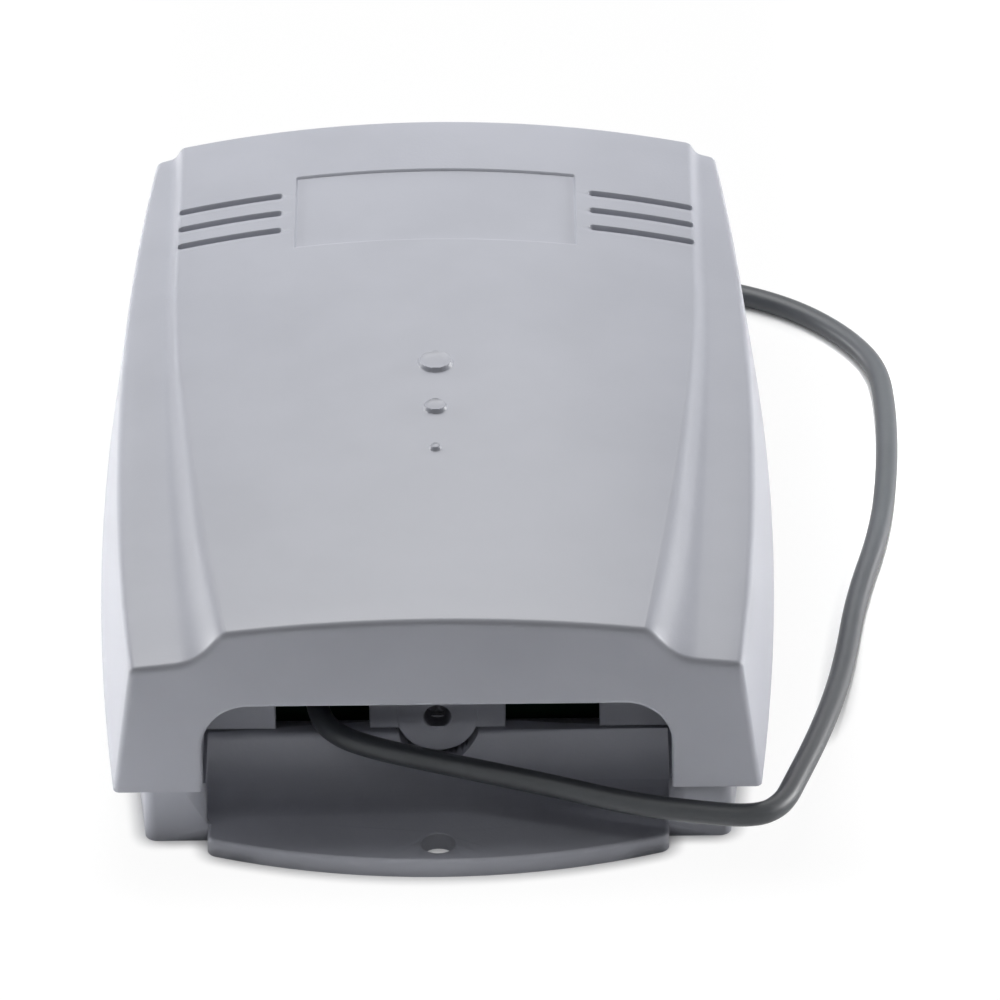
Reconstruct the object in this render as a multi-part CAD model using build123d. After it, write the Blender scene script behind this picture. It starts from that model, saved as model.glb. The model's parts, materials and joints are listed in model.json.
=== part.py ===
from build123d import *
import math
import os

os.makedirs("parts", exist_ok=True)

# A small moulded radio receiver for a gate or door drive, lying on its back.
# Millimetres. X to the right, +Y to the far end, +Z out of the wall that it is screwed to.
# The origin is under the middle of the case, on the back face.

# Case, overall
overall_length = 86.0  # tip of the fixing tongue to the cover's far end
overall_width = 57.0  # across the cover's rim where its sides swell most
panel_height = 22.0  # back face to the crown of the raised panel
tongue_reach = 3.1  # how far the tongue stands out in front of the cover

# Cover shell
cover_wall = 1.8
rim_height = 6.5  # back face to the cover's lower edge
shoulder_drop = 3.8  # crown of the raised panel to the shoulder beside it
crease_drop = 0.4  # shoulder to the edge between shoulder and side wall
crease_radius = 0.7
end_round = 0.5  # rounding of the edges round the two end walls
side_bow = 2.2  # how far the sides swell between corner and middle
side_taper = 1.7  # how far each side leans in from rim to crease
end_lean = 5.0  # degrees that the end walls lean in
panel_margin = 6.3  # widest rim to the raised panel's edge at the far half
panel_narrowing = 5.6  # how far the panel's edge comes in at the near end
narrowing_start = 0.68  # share of the length where the panel starts to narrow
narrowing_power = 1.4
step_far = 1.3  # width of the step from panel to shoulder, far half
step_near = 4.4  # the same at the near end
crown_radius_far = 100.0
crown_radius_near = 150.0

# Details on the raised panel, places from the far end
label_width = 24.3
label_length = 11.7
label_depth = 0.35
label_far = 9.9  # far end to the label recess
vent_count = 3
vent_width = 1.1
vent_pitch = 2.9
vent_depth = 0.8
vent_inner = 13.4  # centreline to a vent's inner end
vent_outer = 22.3  # centreline to a vent's outer end
vent_far = 12.65  # far end to the first vent
bump_sizes = [(2.9, 42.15), (1.9, 49.2), (0.9, 55.55)]  # diameter, place from the far end
bump_proud = 0.36

# Cable bay in the near end
opening_width = 38.1
opening_height = 14.2  # back face to the top of the opening
opening_corner = 3.8
bay_depth = 9.7  # cover's front to the wall at the back of the bay
bay_wall = 1.6
parting_height = 5.7  # back face to the base's edge under the bay wall
parting_gap = 0.25
slot_width = 7.7
slot_place = 9.45  # centreline to the middle of a cable slot
slot_rise = 5.0  # height of a cable slot above the bay wall's lower edge
slot_corner = 1.5
lug_radius = 3.35
lug_height = 7.05  # back face to the middle of the screw hole in the lug
lug_thickness = 2.4
lug_hole = 2.2
lug_gap = 0.35

# Base tray
base_wall = 1.6
base_inset = 2.4  # cover's outer face to the base's outer face
base_wall_height = 9.5  # back face to the top edge of the base's wall
base_corner = 1.0
bay_width = 37.8  # between the cheeks beside the scoop
scoop_run = 6.3
tongue_width = 37.7
tongue_side_back = 0.3  # tongue's side corners behind the cover's front
tongue_corner = 1.0
tongue_edge = 0.35
tongue_hole = 2.8
tongue_hole_front = 2.6  # tongue's tip to the middle of its hole
tongue_hole_sink = 0.12
far_hole = 3.0
far_hole_inset = 8.9  # far end to the middle of the second wall hole
boss_radius = 3.2
boss_length = 5.2
boss_pilot = 1.9
boss_pilot_depth = 4.5
boss_gap = 0.2
cheek_gap = 0.4  # between the cover's cheeks and the base's walls

# Snaps and seats between cover and base
rib_count = 3
rib_thickness = 1.4
rib_height = 5.0
rib_first = 0.3  # share of the length where the first rib stands
rib_last = 0.72
seat_gap = 0.1
catch_place = 12.0
catch_width = 4.0
catch_height = 1.3
catch_low = 7.55
catch_reach = 0.75  # how far a catch reaches past the cover's inner face
catch_gap = 0.18

# Circuit board
board_side = 7.0  # cover's widest rim to the board's long edge
board_thickness = 1.6
board_height = 4.0  # back face to the board's underside
board_bay_gap = 2.3  # back of the bay wall to the board's near edge
board_end_gap = 5.3  # board's far edge to the cover's far end
board_notch_gap = 0.6
post_radius = 2.3
post_pilot = 1.75
pilot_spare = 0.2
post_inset = 2.9  # board's long edge to the middle of a post
post_near = 12.8  # board's near edge to the middle of the near posts
post_far = 2.7  # board's far edge to the middle of the far posts
board_screw_shank = 1.7
board_screw_head = 3.8
board_screw_head_height = 1.3
board_screw_length = 4.2
far_notch_width = 9.0
far_notch_length = 7.5
pin_clearance = 0.15

# Terminal blocks
way_pitch = 3.5
way_count = 2
block_end = 0.2
block_depth = 7.0
block_height = 8.6
block_front = 14.5  # cover's front to the wire entries
block_gap = 0.2
entry_width = 2.6
entry_height = 2.8
entry_low = 1.0
entry_depth = 5.6
clamp_play = 0.05
clamp_sheet = 0.35
clamp_length = 3.6
well_radius = 1.45
screw_head_radius = 1.3
screw_head_height = 1.3
screw_slot = 0.4
tail_size = 0.8
tail_below = 0.9

# Relays
relay_length = 20.0
relay_width = 10.0
relay_height = 10.6
relay_round = 0.5
relay_places = [(10.6, 33.8), (10.6, 46.8)]
relay_pin_size = 0.8
relay_pin_grid = [(-8.0, 0.0), (-3.0, -3.75), (-3.0, 3.75), (7.0, -3.75), (7.0, 3.75)]

# Push-buttons for learning the transmitters
switch_size = 6.0
switch_height = 3.5
switch_edge = 6.3  # board's right edge to the middle of the second push-button
switch_pitch = 6.9
switch_far = 9.2  # board's far edge to the middles of the push-buttons
plunger_radius = 1.75
plunger_play = 0.05
plunger_proud = 1.5
plunger_depth = 1.4
button_travel = 0.25

# Option jumper
jumper_pitch = 2.54
jumper_edge = 6.0  # board's left edge to the middle of the jumper
jumper_far = 9.9  # board's far edge to the middle of the jumper
jumper_pin = 0.64
jumper_base = 2.5
jumper_pin_height = 5.8
cap_height = 4.0
cap_play = 0.06
cap_gap = 0.1

# Other parts on the board
capacitor_radius = 4.0
capacitor_height = 11.5
capacitor_place = (-9.0, 37.8)
small_capacitor_radius = 2.3
small_capacitor_height = 7.0
small_capacitor_place = (-2.3, 31.4)
bridge_size = (6.4, 8.4, 3.0)
bridge_place = (-9.0, 27.2)
varistor_radius = 3.6
varistor_thickness = 3.0
varistor_pitch = 5.0
varistor_lift = 1.0
varistor_place = (-17.6, 32.4)
regulator_body = (10.0, 9.2, 4.4)
regulator_tab = (10.0, 6.3, 1.3)
regulator_place = (-16.0, 49.6)
regulator_lead_reach = 3.0
regulator_hole = 1.8
regulator_pitch = 2.54
regulator_lead = 0.8
regulator_lead_sheet = 0.5
regulator_lead_low = 2.0
microcontroller_size = (7.5, 12.8, 2.5)
microcontroller_place = (7.2, 58.6)
microcontroller_pins = 10
microcontroller_pitch = 1.27
memory_size = (6.4, 9.4, 3.2)
memory_place = (16.2, 58.8)
memory_pins = 4
memory_pitch = 2.54
socket_height = 4.2
socket_size = (7.9, 10.2)
lead_thickness = 0.25
crystal_size = (11.2, 4.6, 3.4)
crystal_place = (-0.4, 59.6)
radio_board_size = (0.8, 27.0)
radio_board_room = 1.6  # radio board's top edge to the inside of the cover
radio_board_place = (-6.4, 58.5)
radio_board_lift = 1.0
radio_can_size = (2.8, 10.0, 8.0)
radio_can_offset = 6.6
saw_radius = 2.2
saw_thickness = 2.0
saw_offset = -4.0
header_pins = 6
header_pitch = 2.54
led_radius = 1.5
led_height = 4.2
led_count = 3
led_pitch = 3.6
led_post_gap = 5.4  # middle of the right far post to the middle of the last lamp
led_far = 2.4  # board's far edge to the middles of the lamps
transistor_radius = 2.3
transistor_height = 4.6
transistor_lift = 2.0
transistor_places = [(6.0, 25.4), (12.0, 25.4)]
diode_radius = 1.1
diode_length = 4.2
diode_places = [(5.0, 40.3), (15.6, 40.3)]
resistor_radius = 1.1
resistor_length = 5.0
resistor_places = [(-15.0, 71.2), (-8.8, 75.2), (0.9, 67.8), (-0.6, 25.0), (-0.6, 22.0)]
bent_lead = 0.6
lead_reach = 0.9

# Aerial wire: one insulated conductor, cut to a quarter wave
wire_diameter = 1.9
core_diameter = 0.9
core_length = 4.2

# Worked out from the sizes above
near_end = -overall_length / 2
far_end = overall_length / 2
cover_front = near_end + tongue_reach
cover_length = far_end - cover_front
half_width = overall_width / 2
shoulder_height = panel_height - shoulder_drop
crease_height = shoulder_height - crease_drop
board_top = board_height + board_thickness
board_width = overall_width - 2 * board_side
board_near = bay_depth + bay_wall + board_bay_gap
board_far = cover_length - board_end_gap
post_places = [
    (board_width / 2 - post_inset, board_near + post_near),
    (board_width / 2 - post_inset, board_far - post_far),
]
switch_places = [
    (board_width / 2 - switch_edge - switch_pitch, board_far - switch_far),
    (board_width / 2 - switch_edge, board_far - switch_far),
]
jumper_place = (-board_width / 2 + jumper_edge, board_far - jumper_far)
led_last = post_places[1][0] - led_post_gap
led_places = [led_last - led_pitch * (led_count - 1 - index) for index in range(led_count)]
led_row = board_far - led_far
radio_board_height = panel_height - cover_wall - radio_board_room - board_top - radio_board_lift
bay_back = cover_front + bay_depth
base_front = cover_front + base_inset
base_far = far_end - base_inset
lean = math.tan(math.radians(end_lean))
NODES = {}


def block(x_low, x_high, y_low, y_high, z_low, z_high):
    """A rectangular solid between two corners."""
    size = Box(x_high - x_low, y_high - y_low, z_high - z_low)
    return Pos((x_low + x_high) / 2, (y_low + y_high) / 2, (z_low + z_high) / 2) * size


def upright(x, y, z, radius, height):
    """A round bar standing on height z."""
    return Pos(x, y, z + height / 2) * Cylinder(radius, height)


def along_y(x, y, z, radius, length):
    """A round bar that runs from y towards the far end."""
    return Pos(x, y + length / 2, z) * Rot(90, 0, 0) * Cylinder(radius, length)


def along_x(x, y, z, radius, length):
    """A round bar that runs from x to the right."""
    return Pos(x + length / 2, y, z) * Rot(0, 90, 0) * Cylinder(radius, length)


def from_front(distance):
    """The Y of a place measured back from the cover's front."""
    return cover_front + distance


def side_profile(points_yz, half):
    """A prism across the case from an outline in the YZ plane."""
    outline = Polyline(*points_yz, close=True)
    return extrude(Plane.YZ * make_face(outline), half, both=True)


def narrowing(share):
    """How much of the panel's narrowing is reached at a share of the cover's length."""
    return (max(0.0, narrowing_start - share) / narrowing_start) ** narrowing_power


def round_corner(before, corner, after, radius):
    """Start, middle and end of the arc that rounds a corner of a section."""
    back = (before - corner).normalized()
    ahead = (after - corner).normalized()
    half_angle = math.radians(back.get_angle(ahead)) / 2
    reach = radius / math.tan(half_angle)
    bisector = (back + ahead).normalized()
    middle = corner + bisector * (radius / math.sin(half_angle) - radius)
    return corner + back * reach, middle, corner + ahead * reach


def cover_section(share, inset, low):
    """The cover's cross-section at a share of its length, drawn inwards by inset."""
    y = cover_front + share * cover_length
    narrow = narrowing(share)
    rim_half = half_width - side_bow * (2 * share - 1) ** 2 - inset
    crease_half = rim_half - side_taper
    low_half = rim_half + side_taper * (rim_height - low) / (crease_height - rim_height)
    panel_half = half_width - panel_margin - panel_narrowing * narrow - 0.4 * inset
    foot_half = panel_half + step_far + (step_near - step_far) * narrow - 0.4 * inset
    radius = crown_radius_far + (crown_radius_near - crown_radius_far) * narrow - inset
    centre_z = panel_height - inset - radius
    reach = math.sqrt(radius**2 - panel_half**2)
    crown = Vector(0, y, panel_height - inset)
    edge = Vector(panel_half, y, centre_z + reach)
    foot = Vector(foot_half, y, shoulder_height - inset)
    crease = Vector(crease_half, y, crease_height - inset)
    bottom = Vector(low_half, y, low)
    width = foot_half - panel_half
    fall = Vector(reach, 0, -panel_half).normalized()
    level = (crease - foot).normalized()
    bend = round_corner(foot, crease, bottom, crease_radius)
    right = [
        Bezier(edge, edge + fall * 0.22 * width, foot - level * 0.6 * width, foot),
        Line(foot, bend[0]),
        ThreePointArc(*bend),
        Line(bend[2], bottom),
    ]
    left = [mirror(piece, about=Plane.YZ) for piece in reversed(right)]
    flip = Vector(-bottom.X, y, low)
    half_x = panel_half / 2
    between = Vector(half_x, y, centre_z + math.sqrt(radius**2 - half_x**2))
    top = ThreePointArc(crown, between, edge)
    pieces = [top, *right, Line(bottom, flip), *left, mirror(top, about=Plane.YZ)]
    return Face(Wire([piece.edge() for piece in pieces]))


def cover_form(inset, low):
    """The crowned, bowed form of the cover, closed below, with leaning end walls."""
    shares = [-0.04, 0.12, 0.3, 0.5, 0.68, 0.86, 1.04]
    body = loft([cover_section(share, inset, low) for share in shares])
    top = panel_height + 5
    near, far = cover_front + inset, far_end - inset
    foot_lean, top_lean = lean * (low - 1 - rim_height), lean * (top - rim_height)
    ends = [
        (near + foot_lean, low - 1),
        (far - foot_lean, low - 1),
        (far - top_lean, top),
        (near + top_lean, top),
    ]
    return body & side_profile(ends, overall_width)


def round_ends(body):
    """Round the edges where the end walls meet the rest, but not the lower edge."""
    ordered = body.faces().sort_by(Axis.Y)
    edges = ShapeList()
    for wall in (ordered[0], ordered[-1]):
        edges += [edge for edge in wall.edges() if edge.center().Z > rim_height + 0.1]
    return fillet(edges, end_round)


def below_crown(depth):
    """Everything under a surface that lies a depth below the panel's crown."""
    return cover_form(depth, rim_height)


def rounded_opening(width, low, high, radius, y_low, y_high, x=0.0):
    """A prism along Y with a flat foot and two rounded top corners."""
    outline = Pos(x, (low + high) / 2) * Rectangle(width, high - low)
    top = outline.vertices().group_by(Axis.Y)[-1]
    outline = fillet(top, radius)
    # This plane looks along -Y, so X keeps its sign and the sketch's Y is up.
    return extrude(Plane.XZ.offset(-y_high) * outline, y_high - y_low)


def label_recess():
    """The shallow bare recess across the far half of the panel."""
    y_high = far_end - label_far
    y_low = y_high - label_length
    frame = block(-label_width / 2, label_width / 2, y_low, y_high, crease_height, panel_height + 1)
    return frame - below_crown(label_depth)


def vents():
    """The blind slots on both sides of the label recess."""
    length = vent_outer - vent_inner
    middle = (vent_outer + vent_inner) / 2
    slots = Sketch()
    for index in range(vent_count):
        y = far_end - vent_far - index * vent_pitch
        for side in (-1, 1):
            slots += Pos(side * middle, y) * SlotOverall(length, vent_width)
    bars = extrude(Pos(0, 0, crease_height) * slots, panel_height + 1 - crease_height)
    return bars - below_crown(vent_depth)


def bay_walls(outer):
    """The wall at the back of the cable bay and its two cheeks, moulded with the cover."""
    inside = opening_width / 2 + 0.1
    low = parting_height + parting_gap
    side, back = inside + bay_wall, bay_back + bay_wall
    walls = block(-side, side, cover_front, back, rim_height, panel_height)
    walls -= block(-inside, inside, cover_front - 1, bay_back, rim_height - 1, panel_height)
    sill = block(-side, side, bay_back, back, low, rim_height + bay_wall)
    return (walls & outer) + sill


def cable_slot(side):
    """One cable slot through the bay wall, open at the bottom."""
    low = parting_height
    high = parting_height + parting_gap + slot_rise
    return rounded_opening(slot_width, low, high, slot_corner, bay_back - 1,
                           bay_back + bay_wall + 1, side * slot_place)


def lug():
    """The lug for the cover's screw: a plate with a round lower end."""
    disc = along_y(0, bay_back, lug_height, lug_radius, lug_thickness)
    plate = block(-lug_radius, lug_radius, bay_back, bay_back + lug_thickness,
                  lug_height, lug_height + 2 * lug_radius)
    return disc + plate


def base_half(share, inset):
    """Half the base's width at a share of its length."""
    return half_width - side_bow * (2 * share - 1) ** 2 - base_inset - inset


def base_outline(inset):
    """The base's outline from above: straight ends and swelling sides."""
    corner, middle = base_half(0, inset), base_half(0.5, inset)
    near, far = base_front + inset, base_far - inset
    centre = (near + far) / 2
    edges = [
        Line((-corner, near), (corner, near)),
        ThreePointArc((corner, near), (middle, centre), (corner, far)),
        Line((corner, far), (-corner, far)),
        ThreePointArc((-corner, far), (-middle, centre), (-corner, near)),
    ]
    outline = make_face(edges)
    return fillet(outline.vertices(), max(base_corner - inset, 0.3))


def stop_ribs(outer):
    """Ribs inside the cover's long sides that stand on the base's wall."""
    ribs = Part()
    low = base_wall_height + seat_gap
    for index in range(rib_count):
        share = rib_first + (rib_last - rib_first) * index / (rib_count - 1)
        y = cover_front + share * cover_length
        reach = base_half(share, base_wall) - 0.3
        for side in (-1, 1):
            x = side * (reach + half_width) / 2
            ribs += Pos(x, y, low + rib_height / 2) * Box(half_width - reach, rib_thickness, rib_height)
    return ribs & outer


def catch_pockets():
    """Pockets inside the cover's far wall that the base's catches sit in."""
    pockets = Part()
    half = catch_width / 2 + catch_gap
    deep = far_end - cover_wall + catch_reach + catch_gap
    for side in (-1, 1):
        x = side * catch_place
        pockets += block(x - half, x + half, base_far, deep, catch_low - catch_gap,
                         catch_low + catch_height + 2.5 * catch_gap)
    return pockets


def make_cover():
    """The cover: lofted form, hollowed, with its bay, ribs, recess, vents and bumps."""
    outer = round_ends(cover_form(0, rim_height))
    cover = outer - cover_form(cover_wall, rim_height - 1)
    cover += bay_walls(outer)
    cover += stop_ribs(outer)
    cover -= rounded_opening(opening_width, rim_height - 1, opening_height, opening_corner,
                             cover_front - 1, cover_front + 2 * cover_wall)
    for side in (-1, 1):
        cover -= cable_slot(side)
    cover += lug()
    cover -= along_y(0, bay_back - 1, lug_height, lug_hole / 2, lug_thickness + 2)
    cover -= catch_pockets()
    cover -= label_recess()
    cover -= vents()
    for diameter, place in bump_sizes:
        foot = panel_height - label_depth
        cover += upright(0, far_end - place, foot, diameter / 2, label_depth + bump_proud)
    return cover


def scoop_points(offset, start):
    """The scoop's arc in the YZ plane, offset below its face, from an angle to its top."""
    rise = parting_height - base_wall
    radius = (scoop_run**2 + rise**2) / (2 * rise)
    foot = bay_back - scoop_run
    end = math.asin(scoop_run / (radius + offset))
    first = start * end
    centre_z = base_wall + radius
    out = radius + offset
    angles = [first, (first + end) / 2, end]
    return [(foot + out * math.sin(a), centre_z - out * math.cos(a)) for a in angles]


def scoop_cut():
    """The room above the tongue and the concave ramp at its back."""
    first, middle, last = scoop_points(0, 0)
    front = near_end - 1
    top = base_wall_height + 1
    lines = [
        Line((front, base_wall), first),
        ThreePointArc(first, middle, last),
        Line(last, (bay_back, top)),
        Line((bay_back, top), (front, top)),
        Line((front, top), (front, base_wall)),
    ]
    return extrude(Plane.YZ * make_face(lines), bay_width / 2, both=True)


def scoop_core(side):
    """The hollow behind the scoop, open at the back face, that keeps its wall even."""
    first, middle, last = scoop_points(base_wall, 0.3)
    lines = [
        ThreePointArc(first, middle, last),
        Line(last, (last[0], -1)),
        Line((last[0], -1), (first[0], -1)),
        Line((first[0], -1), first),
    ]
    width = bay_width / 2 - base_wall - lug_radius - 1.2
    middle_x = side * (bay_width / 2 - base_wall - width / 2)
    return Pos(middle_x, 0, 0) * extrude(Plane.YZ * make_face(lines), width / 2, both=True)


def tongue():
    """The fixing tongue with its bowed front edge and its wall hole."""
    half = tongue_width / 2
    side_y = from_front(tongue_side_back)
    back = base_front + base_wall
    lines = [
        ThreePointArc((-half, side_y), (0, near_end), (half, side_y)),
        Line((half, side_y), (half, back)),
        Line((half, back), (-half, back)),
        Line((-half, back), (-half, side_y)),
    ]
    outline = make_face(lines)
    outline = fillet(outline.vertices().group_by(Axis.Y)[0], tongue_corner)
    plate = extrude(outline, base_wall)
    rim = [edge for edge in plate.edges().group_by(Axis.Z)[-1] if edge.center().Y < side_y + 0.5]
    plate = fillet(rim, tongue_edge)
    y = near_end + tongue_hole_front
    hole = upright(0, y, -1, tongue_hole / 2, base_wall + 2)
    sink = Pos(0, y, base_wall - tongue_hole_sink / 2) * Cone(
        tongue_hole / 2, tongue_hole / 2 + tongue_hole_sink, tongue_hole_sink)
    return plate, hole + sink


def screw_boss():
    """The post behind the lug, with a round top and a pilot hole along the case."""
    y = bay_back + lug_thickness + boss_gap
    post = block(-boss_radius, boss_radius, y, y + boss_length, base_wall / 2, lug_height)
    post += along_y(0, y, lug_height, boss_radius, boss_length)
    return post - along_y(0, y, lug_height, boss_pilot / 2, boss_pilot_depth)


def board_post(x, y):
    """A round post under the circuit board and the pilot hole down its middle."""
    post = upright(x, y, base_wall / 2, post_radius, board_height - base_wall / 2)
    low = board_top - board_screw_length - pilot_spare
    return post, upright(x, y, low, post_pilot / 2, board_height - low + 1)


def make_base():
    """The base tray: walls, cable bay, scoop, tongue, posts, catches and holes."""
    base = extrude(base_outline(0), base_wall_height)
    base -= extrude(Pos(0, 0, base_wall) * base_outline(base_wall), base_wall_height)
    cheek = bay_width / 2 + base_wall
    bay_end = bay_back + bay_wall
    base += block(-cheek, cheek, base_front, bay_end, 0, parting_height)
    clear = opening_width / 2 + 0.1 + bay_wall + cheek_gap
    base -= block(-clear, clear, near_end, bay_end + cheek_gap, parting_height, base_wall_height + 1)
    plate, hole = tongue()
    base += plate
    base -= scoop_cut()
    for side in (-1, 1):
        base -= scoop_core(side)
    notch = lug_radius + lug_gap
    base -= along_y(0, base_front, lug_height, notch, bay_end + 0.5 - base_front)
    base += screw_boss()
    for x, y in post_places:
        for side in (-1, 1):
            post, pilot = board_post(side * x, from_front(y))
            base = base + post - pilot
    reach = far_end - cover_wall + catch_reach
    for side in (-1, 1):
        x = side * catch_place
        base += block(x - catch_width / 2, x + catch_width / 2, base_far - base_wall / 2, reach,
                      catch_low, catch_low + catch_height)
    base -= hole
    base -= upright(0, far_end - far_hole_inset, -1, far_hole / 2, base_wall + 2)
    return base


def terminal_blocks():
    """Name, left edge and width of each terminal block."""
    width = way_count * way_pitch + 2 * block_end
    inner = boss_radius + 1.4
    step = width + block_gap
    return [
        ("supply_terminal", -inner - step - width, width),
        ("aerial_terminal", -inner - width, width),
        ("output_one_terminal", inner, width),
        ("output_two_terminal", inner + step, width),
    ]


def way_centres(left):
    """The X of each way of the terminal block that starts at left."""
    return [left + block_end + way_pitch * (index + 0.5) for index in range(way_count)]


def all_ways():
    """The X of every way, from left to right."""
    return [x for _, left, _ in terminal_blocks() for x in way_centres(left)]


def make_terminal(left, width):
    """One terminal block: stepped body, wire entries, screw wells and tail holes."""
    front = from_front(block_front)
    back = front + block_depth
    top = board_top + block_height
    step = block_height * 0.35
    outline = [
        (front, board_top), (back, board_top), (back, top - step / 2), (back - 0.8, top),
        (front + 1.6, top), (front + 1.6, top - step / 2), (front, top - step),
    ]
    body = Pos(left + width / 2, 0, 0) * side_profile(outline, width / 2)
    low = board_top + entry_low
    well_y = front + entry_depth / 2 + 0.6
    for x in way_centres(left):
        half = entry_width / 2
        body -= block(x - half, x + half, front - 1, front + entry_depth, low, low + entry_height)
        body -= upright(x, well_y, low + entry_height / 2, well_radius, block_height)
        tail = tail_size / 2 + pin_clearance / 2
        body -= block(x - tail, x + tail, well_y - tail, well_y + tail, board_top - 1, low + 0.1)
    return body


def make_clamps():
    """The metal cage in each way, with its tail through the board."""
    clamps = Part()
    front = from_front(block_front)
    well_y = front + entry_depth / 2 + 0.6
    low = board_top + entry_low + clamp_play
    half = entry_width / 2 - clamp_play
    y_low, y_high = well_y - clamp_length / 2, well_y + clamp_length / 2
    high = low + entry_height - 2 * clamp_play
    for x in all_ways():
        cage = block(x - half, x + half, y_low, y_high, low, high)
        cage -= block(x - half + clamp_sheet, x + half - clamp_sheet, y_low - 1, y_high + 1,
                      low + clamp_sheet, high - clamp_sheet)
        tail = tail_size / 2
        cage += block(x - tail, x + tail, well_y - tail, well_y + tail,
                      board_height - tail_below, low + clamp_sheet / 2)
        clamps += cage
    return clamps


def make_terminal_screws():
    """The slotted screw in each way's well, standing on its cage."""
    screws = Part()
    well_y = from_front(block_front) + entry_depth / 2 + 0.6
    foot = board_top + entry_low + entry_height
    for x in all_ways():
        screw = upright(x, well_y, foot, screw_head_radius, screw_head_height)
        top = foot + screw_head_height
        slot = block(x - 2, x + 2, well_y - screw_slot / 2, well_y + screw_slot / 2,
                     top - 0.6, top + 1)
        screws += screw - slot
    return screws


def make_board():
    """The circuit board with its notches, screw holes and pin holes."""
    near, far = from_front(board_near), from_front(board_far)
    half = board_width / 2
    low, high = board_height, board_top
    board = block(-half, half, near, far, low, high)
    notch = boss_radius + board_notch_gap
    boss_end = bay_back + lug_thickness + boss_gap + boss_length + board_notch_gap
    board -= block(-notch, notch, near - 1, boss_end, low - 1, high + 1)
    half_notch = far_notch_width / 2
    board -= block(-half_notch, half_notch, far - far_notch_length, far + 1, low - 1, high + 1)
    for x, y in post_places:
        for side in (-1, 1):
            board -= upright(side * x, from_front(y), low - 1, board_screw_shank / 2 + 0.2, board_thickness + 2)
    well_y = from_front(block_front) + entry_depth / 2 + 0.6
    for x in all_ways():
        hole = tail_size / 2 + pin_clearance
        board -= block(x - hole, x + hole, well_y - hole, well_y + hole, low - 1, high + 1)
    for x, y in relay_pin_points():
        hole = relay_pin_size / 2 + pin_clearance
        board -= block(x - hole, x + hole, y - hole, y + hole, low - 1, high + 1)
    return board


def make_board_screws():
    """The four round-headed screws that hold the board on its posts."""
    screws = Part()
    for x, y in post_places:
        for side in (-1, 1):
            place = (side * x, from_front(y))
            head = upright(*place, board_top, board_screw_head / 2, board_screw_head_height)
            head = chamfer(head.edges().sort_by(Axis.Z)[-1], 0.5)
            shank = upright(*place, board_top - board_screw_length, board_screw_shank / 2,
                            board_screw_length)
            top = board_top + board_screw_head_height
            cross = Part()
            for length, width in ((2.2, 0.5), (0.5, 2.2)):
                cross += Pos(*place, top) * Box(length, width, 1.4)
            screws += head + shank - cross
    return screws


def relay_pin_points():
    """The places of the pins of both relays."""
    points = []
    for centre_x, centre_y in relay_places:
        for x, y in relay_pin_grid:
            points.append((centre_x + x, from_front(centre_y) + y))
    return points


def make_relay(place):
    """A sealed relay: a box with rounded edges."""
    x, y = place
    body = Pos(x, from_front(y), board_top + relay_height / 2) * Box(
        relay_length, relay_width, relay_height)
    edges = body.edges().filter_by(Axis.Z) + body.edges().group_by(Axis.Z)[-1]
    return fillet(edges, relay_round)


def make_relay_pins():
    """The relays' pins, from the relays' undersides through the board."""
    pins = Part()
    half = relay_pin_size / 2
    for x, y in relay_pin_points():
        pins += block(x - half, x + half, y - half, y + half, board_height - tail_below, board_top)
    return pins


def make_switch(place):
    """A push-button's body: moulded base, sheet metal top and the plunger's hole."""
    x, y = place[0], from_front(place[1])
    half = switch_size / 2
    body = block(x - half, x + half, y - half, y + half, board_top, board_top + switch_height)
    body = chamfer(body.edges().filter_by(Axis.Z), 0.5)
    floor = board_top + switch_height - plunger_depth - button_travel
    return body - upright(x, y, floor, plunger_radius + plunger_play, switch_height)


def make_plunger(place):
    """The plunger that slides in a push-button's body."""
    x, y = place[0], from_front(place[1])
    foot = board_top + switch_height - plunger_depth
    bar = upright(x, y, foot, plunger_radius, plunger_depth + plunger_proud)
    return chamfer(bar.edges().sort_by(Axis.Z)[-1], 0.25)


def jumper_points():
    """The places of the option jumper's two pins."""
    x, y = jumper_place[0], from_front(jumper_place[1])
    return [(x - jumper_pitch / 2, y), (x + jumper_pitch / 2, y)]


def make_jumper_header():
    """The two-pin header: moulded base and square pins."""
    x, y = jumper_place[0], from_front(jumper_place[1])
    half = jumper_pin / 2
    header = block(x - jumper_pitch, x + jumper_pitch, y - jumper_pitch / 2, y + jumper_pitch / 2,
                   board_top, board_top + jumper_base)
    for pin_x, pin_y in jumper_points():
        header += block(pin_x - half, pin_x + half, pin_y - half, pin_y + half,
                        board_top, board_top + jumper_pin_height)
    return header


def make_jumper_cap():
    """The pull-off cap that joins the header's pins."""
    x, y = jumper_place[0], from_front(jumper_place[1])
    low = board_top + jumper_base + cap_gap
    side, depth = jumper_pitch - 0.1, jumper_pitch / 2 - 0.05
    cap = block(x - side, x + side, y - depth, y + depth, low, low + cap_height)
    half = jumper_pin / 2 + cap_play
    top = board_top + jumper_pin_height + cap_play
    for pin_x, pin_y in jumper_points():
        cap -= block(pin_x - half, pin_x + half, pin_y - half, pin_y + half, low - 1, top)
    return cap


def make_capacitor(place, radius, height):
    """A standing electrolytic capacitor with its crimped groove."""
    x, y = place[0], from_front(place[1])
    groove = height * 0.16
    points = [
        (0, 0), (radius * 0.92, 0), (radius, 0.3), (radius, groove), (radius * 0.93, groove + 0.4),
        (radius, groove + 0.8), (radius, height - 0.35), (radius - 0.35, height), (0, height),
    ]
    outline = make_face(Polyline(*points, close=True))
    can = revolve(Plane.XZ * outline, Axis.Z)
    return Pos(x, y, board_top) * can


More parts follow.
